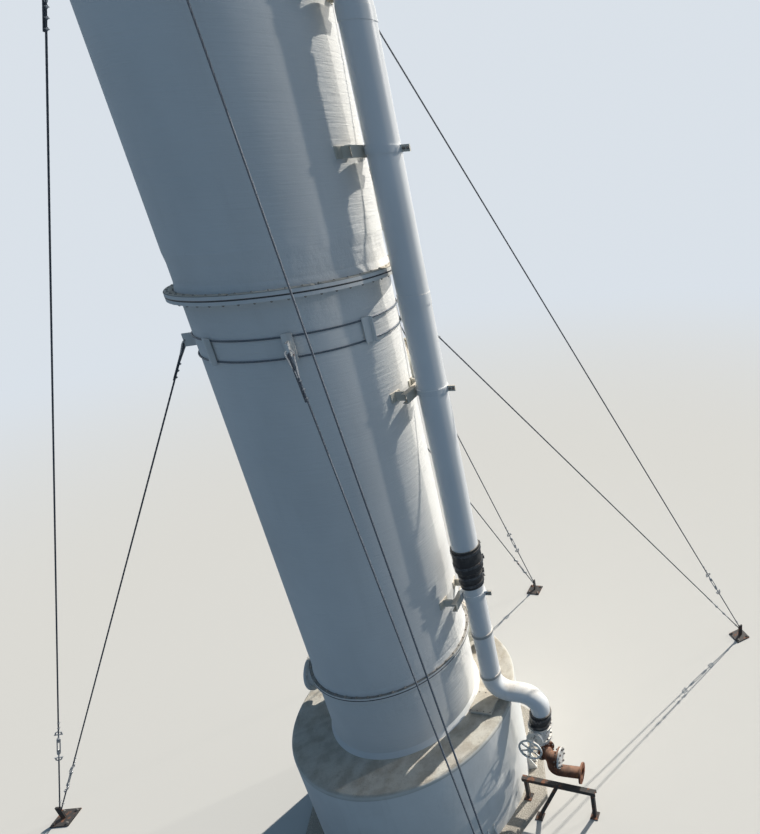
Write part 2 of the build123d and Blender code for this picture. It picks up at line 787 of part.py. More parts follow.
def turnbuckle():
    """Open body of a turnbuckle on the local z axis: two bosses joined by two bars."""
    body = Cylinder(turnbuckle_boss_radius, turnbuckle_boss_length, align=upright)
    body += Pos(0, 0, turnbuckle_length - turnbuckle_boss_length) * Cylinder(
        turnbuckle_boss_radius, turnbuckle_boss_length, align=upright)
    for side in (-1, 1):
        body += Pos(side * turnbuckle_bar_offset, 0, 0) * Cylinder(
            turnbuckle_bar_radius, turnbuckle_length, align=upright)
    return body


def guy_pair(index):
    """The lower and upper guy of one side, each with its turnbuckle near the anchor."""
    cables = []
    for level in (0, 1):
        start, end = guy_ends(index, level)
        offset = turnbuckle_offset + level * (turnbuckle_length + turnbuckle_stagger)
        spot = Plane(origin=end, z_dir=start - end) * Pos(0, 0, offset)
        cables.append(guy_line(index, level) + spot * turnbuckle())
    return cables


def ground_anchors():
    """Ground plates, each with an upright fin that its guys are made fast to."""
    anchors = []
    for index, (azimuth, reach) in enumerate(zip(anchor_azimuths, anchor_reaches)):
        plane = Plane(origin=outward(azimuth, reach), x_dir=outward(azimuth, 1), z_dir=(0, 0, 1))
        up = (Align.CENTER, Align.CENTER, Align.MIN)
        plate = Box(anchor_plate, anchor_plate, anchor_plate_thickness, align=up)
        fin_height = anchor_eye_height + guy_spacing + 3 * guy_radius
        fin = Pos(anchor_fin_width / 2 - guy_seat, 0, anchor_plate_thickness) * Box(
            anchor_fin_width, anchor_fin_thickness, fin_height, align=up)
        anchor = plane * (plate + fin)
        for level in (0, 1):
            anchor -= guy_line(index, level)
        anchors.append(anchor)
    return anchors


def flanged_nozzle(azimuth, height, radius, reach, shell_radius):
    """Short nozzle saddled on a shell, with its drilled flange."""
    face = shell_radius + reach
    flange_radius = radius + nozzle_flange_margin
    body = radial_cylinder(azimuth, height, radius + nozzle_wall, shell_radius / 2, face - shell_radius / 2)
    body += radial_cylinder(azimuth, height, flange_radius, face - nozzle_flange_thickness, nozzle_flange_thickness)
    body -= radial_cylinder(azimuth, height, radius, 0, face + 1)
    body -= disc(shell_radius, 4 * flange_radius, height - 2 * flange_radius)
    start = face - nozzle_flange_thickness - 1
    for hole in ring_of_holes(azimuth, height, radius + nozzle_bolt_margin, nozzle_bolt_hole_radius,
                              nozzle_bolts, start, nozzle_flange_thickness + 2):
        body -= hole
    return body


def lid_nozzle():
    """Ribbed stub on the lid, closed by a cap."""
    spot = outward(lid_nozzle_azimuth, lid_nozzle_position)
    stub = disc(lid_nozzle_radius, lid_nozzle_height, lid_top)
    for step in range(1, lid_nozzle_ribs + 1):
        stub += disc(lid_nozzle_radius + lid_rib_rise, lid_rib_thickness, lid_top + step * lid_rib_pitch)
    return Pos(spot.X, spot.Y, 0) * stub


def lid_hatch():
    """Raised frame on the lid and the plate that covers it."""
    plane = Plane(origin=outward(hatch_azimuth, hatch_position, lid_top), x_dir=outward(hatch_azimuth, 1),
                  z_dir=(0, 0, 1))
    frame = Box(hatch_width, hatch_length, hatch_frame_height, align=upright)
    frame -= Box(hatch_width - 2 * hatch_frame, hatch_length - 2 * hatch_frame, hatch_frame_height, align=upright)
    cover = Pos(0, 0, hatch_frame_height) * Box(
        hatch_width + 2 * hatch_cover_overhang, hatch_length + 2 * hatch_cover_overhang,
        hatch_cover_thickness, align=upright)
    return plane * (frame + cover)


def sump_holddowns():
    """Gusseted lugs that tie the foot of the sump to the plinth."""
    lugs = []
    root = sump_radius - sump_wall
    tip = sump_radius + holddown_reach
    for step in range(holddown_count):
        azimuth = holddown_turn + step * 360 / holddown_count
        plane = Plane(origin=outward(azimuth, 0, sump_base), x_dir=outward(azimuth, 1), z_dir=(0, 0, 1))
        lug = Pos(root, 0, 0) * Box(tip - root, holddown_width, holddown_foot,
                                    align=(Align.MIN, Align.CENTER, Align.MIN))
        outline = Polyline((root, 0, holddown_foot), (tip, 0, holddown_foot),
                           (sump_radius + holddown_plate, 0, holddown_height),
                           (root, 0, holddown_height), close=True)
        cheek = extrude(make_face(outline), holddown_plate / 2, dir=(0, 1, 0), both=True)
        for side in (-1, 1):
            lug += Pos(0, side * (holddown_width - holddown_plate) / 2, 0) * cheek
        lug = plane * lug
        lugs.append(lug - disc(sump_radius, 2 * holddown_height, 0))
    return lugs


nodes["plinth"] = plinth()
nodes["sump_floor"] = disc(sump_radius, sump_floor_thickness, sump_base)
nodes["sump_shell"] = sump_shell()
nodes["sump_lid"] = sump_lid()
nodes["sump_holddowns"] = sump_holddowns()
nodes["lid_hatch"] = lid_hatch()
nodes["lid_nozzle"] = lid_nozzle()

nodes["skirt_section"] = skirt_section()
nodes["lower_section"] = shell_section(
    lower_joint, lower_section_height, lower_flange_radius, mid_flange_radius,
    lower_flange_thickness, mid_flange_thickness) - manway_hole(mid_joint - lower_manway_drop)
nodes["upper_section"] = upper_section()
nodes["top_head"], stack_base = top_head()
nodes["exhaust_stack"] = exhaust_stack(stack_base)

for name, height, shell_radius in (("skirt", lid_top + skirt_manway_rise, lower_shell_radius),
                                   ("lower", mid_joint - lower_manway_drop, lower_shell_radius),
                                   ("upper", mid_joint + upper_manway_rise, overlay_radius)):
    neck, cover = manway(height, shell_radius)
    nodes[f"manway_{name}_neck"] = neck
    nodes[f"manway_{name}_cover"] = cover

nodes["riser_upper"] = riser_upper()
nodes["riser_coupling"] = riser_coupling()
nodes["riser_lower"] = riser_lower()
nodes["s_bend"] = s_bend()
nodes["inlet_coupling"] = inlet_coupling()
nodes["inlet_valve"] = inlet_valve()
nodes["valve_handwheel"] = valve_handwheel()
nodes["valve_elbow"] = valve_elbow()
nodes["inlet_elbow"], nodes["blind_flange"] = inlet_elbow()
nodes["pipe_stand"] = pipe_stand()
nodes["feed_nozzle"] = feed_nozzle()
bracket_heights = (lower_joint + bracket_1_rise, mid_joint - bracket_2_drop,
                   mid_joint + bracket_3_rise, top_joint - bracket_4_drop)
for order, height in enumerate(bracket_heights, start=1):
    nodes[f"riser_bracket_{order}"] = riser_bracket(height)

for level, (name, heights, radius) in enumerate((("lower", lower_hoop_heights, lower_shell_radius),
                                                 ("upper", upper_hoop_heights, overlay_radius))):
    nodes[f"{name}_hoops"] = hoops(heights, radius)
    nodes[f"{name}_guy_lugs"] = guy_lugs(heights, radius, level) + hoop_spreaders(heights, radius)
for index, side in enumerate(("front", "right", "back", "left")):
    nodes[f"guy_{side}"] = guy_pair(index)
nodes["ground_anchors"] = ground_anchors()
nodes["air_inlet_nozzle"] = flanged_nozzle(air_nozzle_azimuth, lid_top + air_nozzle_rise, air_nozzle_radius,
                                           air_nozzle_reach, lower_shell_radius)
nodes["sump_outlet_nozzle"] = flanged_nozzle(outlet_azimuth, shell_base + outlet_rise, outlet_radius,
                                             outlet_reach, sump_radius)

os.makedirs("parts", exist_ok=True)
for name, shape in nodes.items():
    solids = shape if isinstance(shape, list) else [shape]
    export_step(Compound(children=[solid for item in solids for solid in item.solids()]), f"parts/{name}.step")
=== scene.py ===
# %% [markdown]
# # Groundwater treatment column
# A tall glass-fibre tower stands on a wide, low sump and is held upright by guy cables. The rigid parts
# come ready from the CAD model. This lesson dresses them: it loads them, sets the camera, mixes the
# materials, adds the bolts, gaskets, straps and cables that make the plant look real, and lights it like
# a studio model.

# %% Load the frame
import bmesh
import bpy
import numpy as np
from mathutils import Matrix


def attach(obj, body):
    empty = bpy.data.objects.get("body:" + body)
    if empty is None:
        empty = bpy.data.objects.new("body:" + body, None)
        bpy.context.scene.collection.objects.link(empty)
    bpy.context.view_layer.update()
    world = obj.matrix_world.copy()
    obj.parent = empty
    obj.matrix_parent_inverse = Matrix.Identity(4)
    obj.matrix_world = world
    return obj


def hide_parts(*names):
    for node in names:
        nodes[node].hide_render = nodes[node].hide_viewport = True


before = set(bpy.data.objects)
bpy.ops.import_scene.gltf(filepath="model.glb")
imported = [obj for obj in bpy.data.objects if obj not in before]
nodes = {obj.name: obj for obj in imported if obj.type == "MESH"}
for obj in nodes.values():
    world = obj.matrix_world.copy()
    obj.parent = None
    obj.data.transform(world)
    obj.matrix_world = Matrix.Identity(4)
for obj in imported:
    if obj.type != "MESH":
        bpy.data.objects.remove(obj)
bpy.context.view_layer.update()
rng = np.random.default_rng(41)

# %% [markdown]
# ## The camera
# The photograph looks down on the column from about the height of its highest manway. It shows only a
# part of a wider picture, whose middle falls on column 613 of 760, so the lens is short and shifted
# sideways. A camera can be aimed with Euler angles, but three perpendicular directions are easier to
# check: forward comes from a pan and a pitch, then right and up follow, and a roll turns both about
# forward.

# %% Aim the camera
camera_place = np.array([-0.091, -6.854, 8.289])
focal_pixels = 607.69
optical_column = 613.36
frame_width, frame_height = 760, 834
pan, pitch, roll = -0.4778, 0.4124, -0.0776

forward = np.array([np.sin(-pan) * np.cos(pitch), np.cos(pan) * np.cos(pitch), -np.sin(pitch)])
level_right = np.cross(forward, [0, 0, 1])
level_right /= np.linalg.norm(level_right)
level_up = np.cross(level_right, forward)
right = np.cos(roll) * level_right + np.sin(roll) * level_up
upward = np.cos(roll) * level_up - np.sin(roll) * level_right
pose = np.eye(4)
pose[:3, 0], pose[:3, 1], pose[:3, 2], pose[:3, 3] = right, upward, -forward, camera_place

camera_data = bpy.data.cameras.new("photo_camera")
camera_data.sensor_width = 36
camera_data.lens = focal_pixels * camera_data.sensor_width / frame_height
camera_data.shift_x = (frame_width / 2 - optical_column) / frame_height
camera = bpy.data.objects.new("photo_camera", camera_data)
camera.matrix_world = Matrix(pose.tolist())
bpy.context.scene.collection.objects.link(camera)
bpy.context.scene.camera = camera
print("lens", round(camera_data.lens, 2), "mm, shift", round(camera_data.shift_x, 3))

# %% [markdown]
# ## Meshes from arrays
# Every added piece below is a surface worked out with numpy. A mesh needs only two things: an array of
# points and arrays of faces that name them. `build` writes both in one go, which is far quicker than
# adding points one at a time, and it lets Blender turn all faces outward. `loft` skins a stack of closed
# rings and shuts its ends.

# %% Turn arrays into a mesh
def build(name, points, faces, material, replaces=(), smooth=None):
    """One mesh from points (n, 3) and a list of face arrays, each with one number of corners per face."""
    mesh = bpy.data.meshes.new(name)
    corners = np.concatenate([np.ravel(array) for array in faces])
    sizes = np.concatenate([np.full(len(array), array.shape[1]) for array in faces])
    mesh.vertices.add(len(points))
    mesh.vertices.foreach_set("co", np.ravel(points).astype(np.float32))
    mesh.loops.add(len(corners))
    mesh.loops.foreach_set("vertex_index", corners.astype(np.int32))
    mesh.polygons.add(len(sizes))
    mesh.polygons.foreach_set("loop_start", (np.cumsum(sizes) - sizes).astype(np.int32))
    mesh.update(calc_edges=True)
    mesh.validate()
    solid = bmesh.new()
    solid.from_mesh(mesh)
    bmesh.ops.recalc_face_normals(solid, faces=solid.faces)
    solid.to_mesh(mesh)
    solid.free()
    shell = bpy.data.objects.new(name, mesh)
    bpy.context.scene.collection.objects.link(shell)
    if smooth is not None:
        mesh.shade_smooth()
        mesh.set_sharp_from_angle(angle=np.radians(smooth))
    mesh.materials.append(material)
    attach(shell, "root")
    if replaces:
        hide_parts(*replaces)
    print(name, len(sizes), "faces")
    return shell


def loft(rings):
    """Skin over rings (count, around, 3): quads join ring to ring, fans to a middle point shut both ends."""
    count, around = rings.shape[:2]
    start = np.arange(count - 1)[:, None] * around
    here = np.arange(around)[None, :]
    there = (here + 1) % around
    sides = np.stack([start + here, start + there, start + around + there, start + around + here], axis=-1)
    middles = np.stack([rings[0].mean(axis=0), rings[-1].mean(axis=0)])
    first = np.stack([there[0], here[0], np.full(around, count * around)], axis=-1)
    last = np.stack([here[0], there[0], np.full(around, around + 1)], axis=-1) + (count - 1) * around
    last[:, 2] = count * around + 1
    points = np.concatenate([rings.reshape(-1, 3), middles])
    return points, [sides.reshape(-1, 4), np.concatenate([first, last])]


def join(parts):
    """Several (points, faces) pairs as one: each part's faces are counted on from the points before it."""
    points = np.concatenate([part[0] for part in parts])
    before = np.cumsum([0] + [len(part[0]) for part in parts[:-1]])
    faces = [array + offset for part, offset in zip(parts, before) for array in part[1]]
    return points, faces


def copies(part, places, axes):
    """A part repeated: point = place + x*X + y*Y + z*Z, with the X, Y, Z of each place in axes (m, 3, 3)."""
    points, faces = part
    placed = places[:, None, :] + np.einsum("pk,mkd->mpd", points, axes)
    steps = np.arange(len(places))[:, None, None] * len(points)
    return placed.reshape(-1, 3), [(array[None] + steps).reshape(-1, array.shape[1]) for array in faces]


# %% [markdown]
# ## Directions round the column
# Nearly everything stands in a ring or points away from the axis. One helper gives a point at an azimuth,
# counted from the front towards the right, and another gives the places and axes for a ring of bolts
# about any line. Real bolts never stop at the same angle, so each one gets its own small turn.

# %% Azimuths and bolt circles
def outward(azimuth, reach=1.0, height=0.0):
    """Point at a reach from the axis: x = reach*sin(azimuth), y = -reach*cos(azimuth), z = height."""
    turn = np.radians(azimuth)
    parts = np.broadcast_arrays(reach * np.sin(turn), -reach * np.cos(turn), height)
    return np.stack(parts, axis=-1).astype(float)


def axes_along(direction, turns):
    """Right-handed axes (m, 3, 3) whose Z is the direction and whose X is turned about it by each angle."""
    z = np.asarray(direction, float) / np.linalg.norm(direction)
    side = np.cross(z, [0, 0, 1]) if abs(z[2]) < 0.9 else np.cross(z, [0, 1, 0])
    side /= np.linalg.norm(side)
    other = np.cross(z, side)
    x = np.cos(turns)[:, None] * side + np.sin(turns)[:, None] * other
    return np.stack([x, np.cross(z, x), np.broadcast_to(z, x.shape)], axis=1)


def bolt_circle(middle, direction, radius, count, first=0.5):
    """Places and axes of count bolts on a circle about a line, the first a part of a step from its start."""
    angles = (np.arange(count) + first) * 2 * np.pi / count
    ring = axes_along(direction, angles)
    return middle + radius * ring[:, 0], axes_along(direction, rng.uniform(0, np.pi / 3, count))


print("one metre to the front is", outward(0).round(3), "and to the right", outward(90).round(3))

# %% [markdown]
# ## Noise for weather and paint
# Old white laminate is never one colour. Three effects return on most materials, so each is a node group,
# built once and placed with its own strengths: `weather` gives rain streaks and blotches as a mask,
# `dust_lies` gives the dust that settles on faces that look up, and `hand_lay_up` gives the bumps of
# wound and hand-laid glass. All of them read Object coordinates, which for these pieces are metres in the
# column's own frame.

# %% A helper for node trees
def add_node(tree, kind, inputs=None, **settings):
    """A node of a kind, with plain attributes set, and inputs given as values or as sockets to link."""
    node = tree.nodes.new(kind)
    for name, value in settings.items():
        setattr(node, name, value)
    for name, value in (inputs or {}).items():
        if isinstance(value, bpy.types.NodeSocket):
            tree.links.new(value, node.inputs[name])
        else:
            node.inputs[name].default_value = value
    return node


def calculate(tree, operation, first, second=0.0, clamp=False):
    """One Math node: the result of an operation on two values or sockets."""
    inputs = {0: first, 1: second}
    return add_node(tree, "ShaderNodeMath", inputs, operation=operation, use_clamp=clamp).outputs[0]


def blend(tree, factor, low, high, mode="MIX"):
    """One colour mixed over another by a factor."""
    node = add_node(tree, "ShaderNodeMix", {"Factor": factor}, data_type="RGBA", blend_type=mode)
    for socket, value in ((node.inputs[6], low), (node.inputs[7], high)):
        if isinstance(value, bpy.types.NodeSocket):
            tree.links.new(value, socket)
        else:
            socket.default_value = value
    return node.outputs[2]


def rescale(tree, value, low, high, start=0.0, end=1.0):
    """A value stretched so that low becomes start and high becomes end, with a smooth step between."""
    inputs = {"Value": value, "From Min": low, "From Max": high, "To Min": start, "To Max": end}
    return add_node(tree, "ShaderNodeMapRange", inputs, interpolation_type="SMOOTHSTEP").outputs[0]


def new_group(name, inputs, outputs):
    """An empty node group with number inputs (name: default) and number outputs, and its two end nodes."""
    group = bpy.data.node_groups.new(name, "ShaderNodeTree")
    for label, value in inputs.items():
        socket = group.interface.new_socket(label, in_out="INPUT", socket_type="NodeSocketFloat")
        socket.default_value = value
    for label in outputs:
        group.interface.new_socket(label, in_out="OUTPUT", socket_type="NodeSocketFloat")
    print("node group", name, "with the inputs", list(inputs))
    return group, group.nodes.new("NodeGroupInput"), group.nodes.new("NodeGroupOutput")


def stretched_noise(tree, stretch, detail=4.0, roughness=0.55):
    """Noise on Object coordinates scaled by (x, y, z) first: a small z scale draws it out upright."""
    place = add_node(tree, "ShaderNodeTexCoord").outputs["Object"]
    wide = add_node(tree, "ShaderNodeMapping", {"Vector": place, "Scale": stretch}).outputs[0]
    inputs = {"Vector": wide, "Scale": 1.0, "Detail": detail, "Roughness": roughness}
    return add_node(tree, "ShaderNodeTexNoise", inputs).outputs["Fac"]


# %% The weather group
weather, ends, result = new_group("weather", {"Streaks": 0.5, "Blotches": 0.5}, ["Mask"])
streaks = rescale(weather, stretched_noise(weather, (9, 9, 0.35), 5.0, 0.62), 0.46, 0.74)
broken = rescale(weather, stretched_noise(weather, (3, 3, 1.6), 3.0), 0.38, 0.66)
streaks = calculate(weather, "MULTIPLY", streaks, broken)
blotches = rescale(weather, stretched_noise(weather, (1.7, 1.7, 1.3), 6.0, 0.6), 0.44, 0.72)
streaks = calculate(weather, "MULTIPLY", streaks, ends.outputs["Streaks"])
blotches = calculate(weather, "MULTIPLY", blotches, ends.outputs["Blotches"])
weather.links.new(calculate(weather, "ADD", streaks, blotches, clamp=True), result.inputs["Mask"])

# %% The dust group
dust_lies, ends, result = new_group("dust_lies", {"Amount": 0.9, "Patchiness": 0.5}, ["Mask", "Grit"])
normal = add_node(dust_lies, "ShaderNodeNewGeometry").outputs["Normal"]
facing = add_node(dust_lies, "ShaderNodeSeparateXYZ", {0: normal}).outputs["Z"]
flat = rescale(dust_lies, facing, 0.45, 0.93)
patches = rescale(dust_lies, stretched_noise(dust_lies, (5, 5, 5), 6.0, 0.65), 0.30, 0.62)
thin = calculate(dust_lies, "SUBTRACT", 1.0, patches)
thin = calculate(dust_lies, "MULTIPLY", thin, ends.outputs["Patchiness"])
lying = calculate(dust_lies, "MULTIPLY", flat, calculate(dust_lies, "SUBTRACT", 1.0, thin))
dust_lies.links.new(calculate(dust_lies, "MULTIPLY", lying, ends.outputs["Amount"]), result.inputs["Mask"])
specks = rescale(dust_lies, stretched_noise(dust_lies, (95, 95, 95), 3.0, 0.7), 0.56, 0.68)
dust_lies.links.new(calculate(dust_lies, "MULTIPLY", specks, flat), result.inputs["Grit"])

# %% [markdown]
# The column's shells were wound: glass threads laid almost level, so the skin carries fine level ripples.
# Near the flanges, patches of glass mat were pressed on by hand, and stay lumpy and wavy. The group adds
# a fine level noise to a coarser lumpy one with broad folds, and a mask of heights lets the lumps show
# only near the joints.

# %% The lay-up group
joint_heights = (2.741, 7.379, 10.900)
hand_lay_up, ends, result = new_group(
    "hand_lay_up", {"Winding": 1.0, "Lumps": 1.0, "Everywhere": 0.25}, ["Height"])
winding = stretched_noise(hand_lay_up, (2.2, 2.2, 34), 5.0, 0.62)
mat = stretched_noise(hand_lay_up, (11, 11, 8), 6.0, 0.66)
folds = calculate(hand_lay_up, "MULTIPLY", stretched_noise(hand_lay_up, (4.2, 4.2, 3.4), 2.0, 0.5), 2.4)
mat = calculate(hand_lay_up, "ADD", mat, folds)
spot = add_node(hand_lay_up, "ShaderNodeTexCoord").outputs["Object"]
height = add_node(hand_lay_up, "ShaderNodeSeparateXYZ", {0: spot}).outputs["Z"]
nearest = 9.0
for joint in joint_heights:
    gap = calculate(hand_lay_up, "ABSOLUTE", calculate(hand_lay_up, "SUBTRACT", height, joint))
    nearest = calculate(hand_lay_up, "MINIMUM", nearest, gap)
wander = calculate(hand_lay_up, "MULTIPLY", stretched_noise(hand_lay_up, (1.3, 1.3, 1.3), 3.0), 0.5)
ragged = calculate(hand_lay_up, "ADD", nearest, wander)
close = rescale(hand_lay_up, ragged, 0.85, 0.45)
close = calculate(hand_lay_up, "MAXIMUM", close, ends.outputs["Everywhere"])
winding = calculate(hand_lay_up, "MULTIPLY", winding, ends.outputs["Winding"])
lumps = calculate(hand_lay_up, "MULTIPLY", mat, ends.outputs["Lumps"])
lumps = calculate(hand_lay_up, "MULTIPLY", lumps, close)
hand_lay_up.links.new(calculate(hand_lay_up, "ADD", winding, lumps), result.inputs["Height"])

# %% [markdown]
# ## Materials
# Each finish starts from one Principled shader. `start_material` sets its fixed numbers on its own
# sockets, and the cells after it feed only what changes over the surface: the base colour, the roughness
# and the bump. White laminate yellows a little, holds grey-tan streaks where rain runs, and collects dust
# wherever it looks up. On the shells' flanges the dust is painted dark, as dirt and as painted shade on
# the flange tops, and on the lid it is pale and dry, so each finish brings its own soil.

# %% Start a material
def start_material(name, roughness, metallic=0.0, specular=0.5, coat=0.0):
    """A material with one Principled shader whose fixed numbers sit on its own sockets."""
    material = bpy.data.materials.new(name)
    material.use_nodes = True
    shader = material.node_tree.nodes["Principled BSDF"]
    shader.inputs["Roughness"].default_value = roughness
    shader.inputs["Metallic"].default_value = metallic
    shader.inputs["Specular IOR Level"].default_value = specular
    shader.inputs["Coat Weight"].default_value = coat
    print("material", name)
    return material, material.node_tree, shader


def place_group(tree, group, **inputs):
    """A node group placed in a material, with its named inputs set."""
    node = tree.nodes.new("ShaderNodeGroup")
    node.node_tree = group
    for label, value in inputs.items():
        node.inputs[label].default_value = value
    return node.outputs


def set_bump(tree, shader, height, strength, distance):
    """Feed a height into the shader's normal through one Bump node, its distance in metres."""
    inputs = {"Height": height, "Strength": strength, "Distance": distance}
    tree.links.new(add_node(tree, "ShaderNodeBump", inputs).outputs[0], shader.inputs["Normal"])


dust_tan = (0.560, 0.475, 0.375, 1)
dust_pale = (0.700, 0.630, 0.530, 1)
grit_dark = (0.075, 0.060, 0.050, 1)
rain_grey = (0.470, 0.455, 0.410, 1)


def painted(name, colour, roughness, streaks, blotches, dust, patchiness, winding, lumps, everywhere, depth,
            dirt=rain_grey, soil=dust_tan, pale=dust_pale, grit=0.5):
    """White or beige laminate: paint, rain streaks and blotches, then dust and grit where it looks up."""
    material, tree, shader = start_material(name, roughness, specular=0.4)
    tone = stretched_noise(tree, (0.9, 0.9, 0.5), 3.0)
    lighter = tuple(min(1.0, v * 1.05) for v in colour[:3]) + (1,)
    darker = tuple(v * 0.94 for v in colour[:3]) + (1,)
    paint = blend(tree, rescale(tree, tone, 0.3, 0.7), darker, lighter)
    runs = place_group(tree, weather, Streaks=streaks, Blotches=blotches)["Mask"]
    stained = blend(tree, runs, paint, dirt)
    lying = place_group(tree, dust_lies, Amount=dust, Patchiness=patchiness)
    powder = blend(tree, rescale(tree, stretched_noise(tree, (7, 7, 7), 5.0), 0.35, 0.65), soil, pale)
    dusted = blend(tree, lying["Mask"], stained, powder)
    speckled = blend(tree, calculate(tree, "MULTIPLY", lying["Grit"], grit), dusted, grit_dark)
    tree.links.new(speckled, shader.inputs["Base Color"])
    shine = calculate(tree, "ADD", calculate(tree, "MULTIPLY", lying["Mask"], 0.35), roughness, clamp=True)
    tree.links.new(shine, shader.inputs["Roughness"])
    lay_up = place_group(tree, hand_lay_up, Winding=winding, Lumps=lumps, Everywhere=everywhere)["Height"]
    grains = calculate(tree, "MULTIPLY", lying["Grit"], 0.4)
    set_bump(tree, shader, calculate(tree, "ADD", lay_up, grains), 1.0, depth)
    return material


# %% Laminate finishes
# The dark soil and pale on the flange tops stand for dirt and also for painted shade.
shell_white = painted(
    "shell_white", (0.76, 0.75, 0.72), roughness=0.80, streaks=0.08, blotches=0.05, dust=0.92,
    patchiness=0.25, winding=1.0, lumps=1.3, everywhere=0.12, depth=0.006, soil=(0.16, 0.148, 0.127, 1),
    pale=(0.26, 0.235, 0.20, 1))
head_white = painted(
    "head_white", (0.76, 0.75, 0.72), roughness=0.80, streaks=0.10, blotches=0.08, dust=0.80,
    patchiness=0.6, winding=0.3, lumps=1.0, everywhere=0.5, depth=0.005)
sump_white = painted(
    "sump_white", (0.79, 0.785, 0.75), roughness=0.55, streaks=0.30, blotches=0.16, dust=0.90,
    patchiness=0.35, winding=0.5, lumps=0.9, everywhere=0.55, depth=0.006)
lid_dusty = painted(
    "lid_dusty", (0.60, 0.59, 0.54), roughness=0.62, streaks=0.10, blotches=0.30, dust=0.97,
    patchiness=0.30, winding=0.2, lumps=0.8, everywhere=0.9, depth=0.005, dirt=(0.27, 0.25, 0.22, 1),
    soil=(0.40, 0.35, 0.28, 1), pale=(0.53, 0.49, 0.41, 1), grit=0.35)
manway_beige = painted(
    "manway_beige", (0.72, 0.69, 0.585), roughness=0.55, streaks=0.35, blotches=0.30, dust=0.85,
    patchiness=0.4, winding=0.0, lumps=0.5, everywhere=0.8, depth=0.004, dirt=(0.34, 0.26, 0.17, 1))
pipe_white = painted(
    "pipe_white", (0.80, 0.80, 0.785), roughness=0.36, streaks=0.16, blotches=0.08, dust=0.75,
    patchiness=0.5, winding=0.06, lumps=0.08, everywhere=0.6, depth=0.003)
bracket_beige = painted(
    "bracket_beige", (0.62, 0.585, 0.50), roughness=0.6, streaks=0.35, blotches=0.35, dust=0.8,
    patchiness=0.4, winding=0.0, lumps=0.6, everywhere=0.9, depth=0.004, dirt=(0.20, 0.17, 0.13, 1))
painted_steel = painted(
    "painted_steel", (0.76, 0.75, 0.715), roughness=0.5, streaks=0.30, blotches=0.25, dust=0.6,
    patchiness=0.4, winding=0.0, lumps=0.6, everywhere=0.9, depth=0.003, dirt=(0.34, 0.28, 0.21, 1))
band_grey = painted(
    "band_grey", (0.40, 0.40, 0.385), roughness=0.6, streaks=0.3, blotches=0.4, dust=0.6, patchiness=0.4,
    winding=0.0, lumps=0.6, everywhere=0.9, depth=0.003)

# %% [markdown]
# The painters went over the pipe clamps together with the riser, so the strap that wraps the pipe is
# white and the arm behind it is beige. Within 166 mm of the riser's axis the bracket is strap, past 170
# mm it is arm, and a mask of that distance splits the one mesh in two finishes.

# %% Brackets with a white strap
riser_azimuth, riser_reach = 55, 1.232
riser_axis = outward(riser_azimuth, riser_reach)
tree = bracket_beige.node_tree
shader = tree.nodes["Principled BSDF"]
beige = shader.inputs["Base Color"].links[0].from_socket
spot = add_node(tree, "ShaderNodeTexCoord").outputs["Object"]
level = add_node(tree, "ShaderNodeVectorMath", {0: spot, 1: (1, 1, 0)}, operation="MULTIPLY").outputs[0]
from_axis = add_node(tree, "ShaderNodeVectorMath", {0: level, 1: riser_axis}, operation="DISTANCE")
on_pipe = rescale(tree, from_axis.outputs["Value"], 0.170, 0.166)
tree.links.new(blend(tree, on_pipe, beige, (0.78, 0.78, 0.765, 1)), shader.inputs["Base Color"])
print("the riser's axis stands at", riser_axis.round(3))

# %% [markdown]
# Weathered concrete is two noises: broad damp stains, and fine pits that also feed the bump.

# %% Concrete
plinth_concrete, tree, shader = start_material("plinth_concrete", 0.9, specular=0.2)
stains = rescale(tree, stretched_noise(tree, (2.2, 2.2, 3), 6.0, 0.62), 0.35, 0.68)
pits = rescale(tree, stretched_noise(tree, (60, 60, 60), 4.0, 0.7), 0.40, 0.62)
tone = blend(tree, stains, (0.40, 0.36, 0.30, 1), (0.56, 0.515, 0.44, 1))
tree.links.new(blend(tree, pits, (0.33, 0.295, 0.245, 1), tone), shader.inputs["Base Color"])
set_bump(tree, shader, calculate(tree, "ADD", pits, stains), 0.7, 0.006)

# %% [markdown]
# Rust is not one orange. Dark brown scale covers most of an old pipe, and bright orange powder sits in
# patches. The valve and its flanges are the same idea the other way round: mostly white paint, chipped
# through to dark iron where tools and hands have been.

# %% Rusty pipe
rusty_pipe, tree, shader = start_material("rusty_pipe", 0.82, specular=0.3)
scale_noise = stretched_noise(tree, (9, 9, 7), 6.0, 0.66)
powder_noise = stretched_noise(tree, (16, 16, 12), 5.0, 0.6)
scale_dark, scale_light = (0.085, 0.036, 0.024, 1), (0.215, 0.088, 0.048, 1)
powder = (0.42, 0.17, 0.065, 1)
rust = blend(tree, rescale(tree, scale_noise, 0.36, 0.64), scale_dark, scale_light)
rust = blend(tree, rescale(tree, powder_noise, 0.54, 0.70), rust, powder)
lying = place_group(tree, dust_lies, Amount=0.45, Patchiness=0.7)["Mask"]
tree.links.new(blend(tree, lying, rust, (0.46, 0.30, 0.21, 1)), shader.inputs["Base Color"])
set_bump(tree, shader, scale_noise, 0.8, 0.008)

# %% Chipped paint on iron
chipped_white, tree, shader = start_material("chipped_white", 0.5)
chips = rescale(tree, stretched_noise(tree, (30, 30, 30), 6.0, 0.7), 0.575, 0.605)
runs = place_group(tree, weather, Streaks=0.5, Blotches=0.5)["Mask"]
paint = blend(tree, runs, (0.74, 0.735, 0.70, 1), (0.38, 0.33, 0.27, 1))
lying = place_group(tree, dust_lies, Amount=0.6, Patchiness=0.6)["Mask"]
paint = blend(tree, lying, paint, dust_pale)
tree.links.new(blend(tree, chips, paint, (0.11, 0.065, 0.045, 1)), shader.inputs["Base Color"])
tree.links.new(rescale(tree, chips, 0, 1, 0.45, 0.85), shader.inputs["Roughness"])
set_bump(tree, shader, calculate(tree, "SUBTRACT", 1.0, chips), 0.6, 0.002)
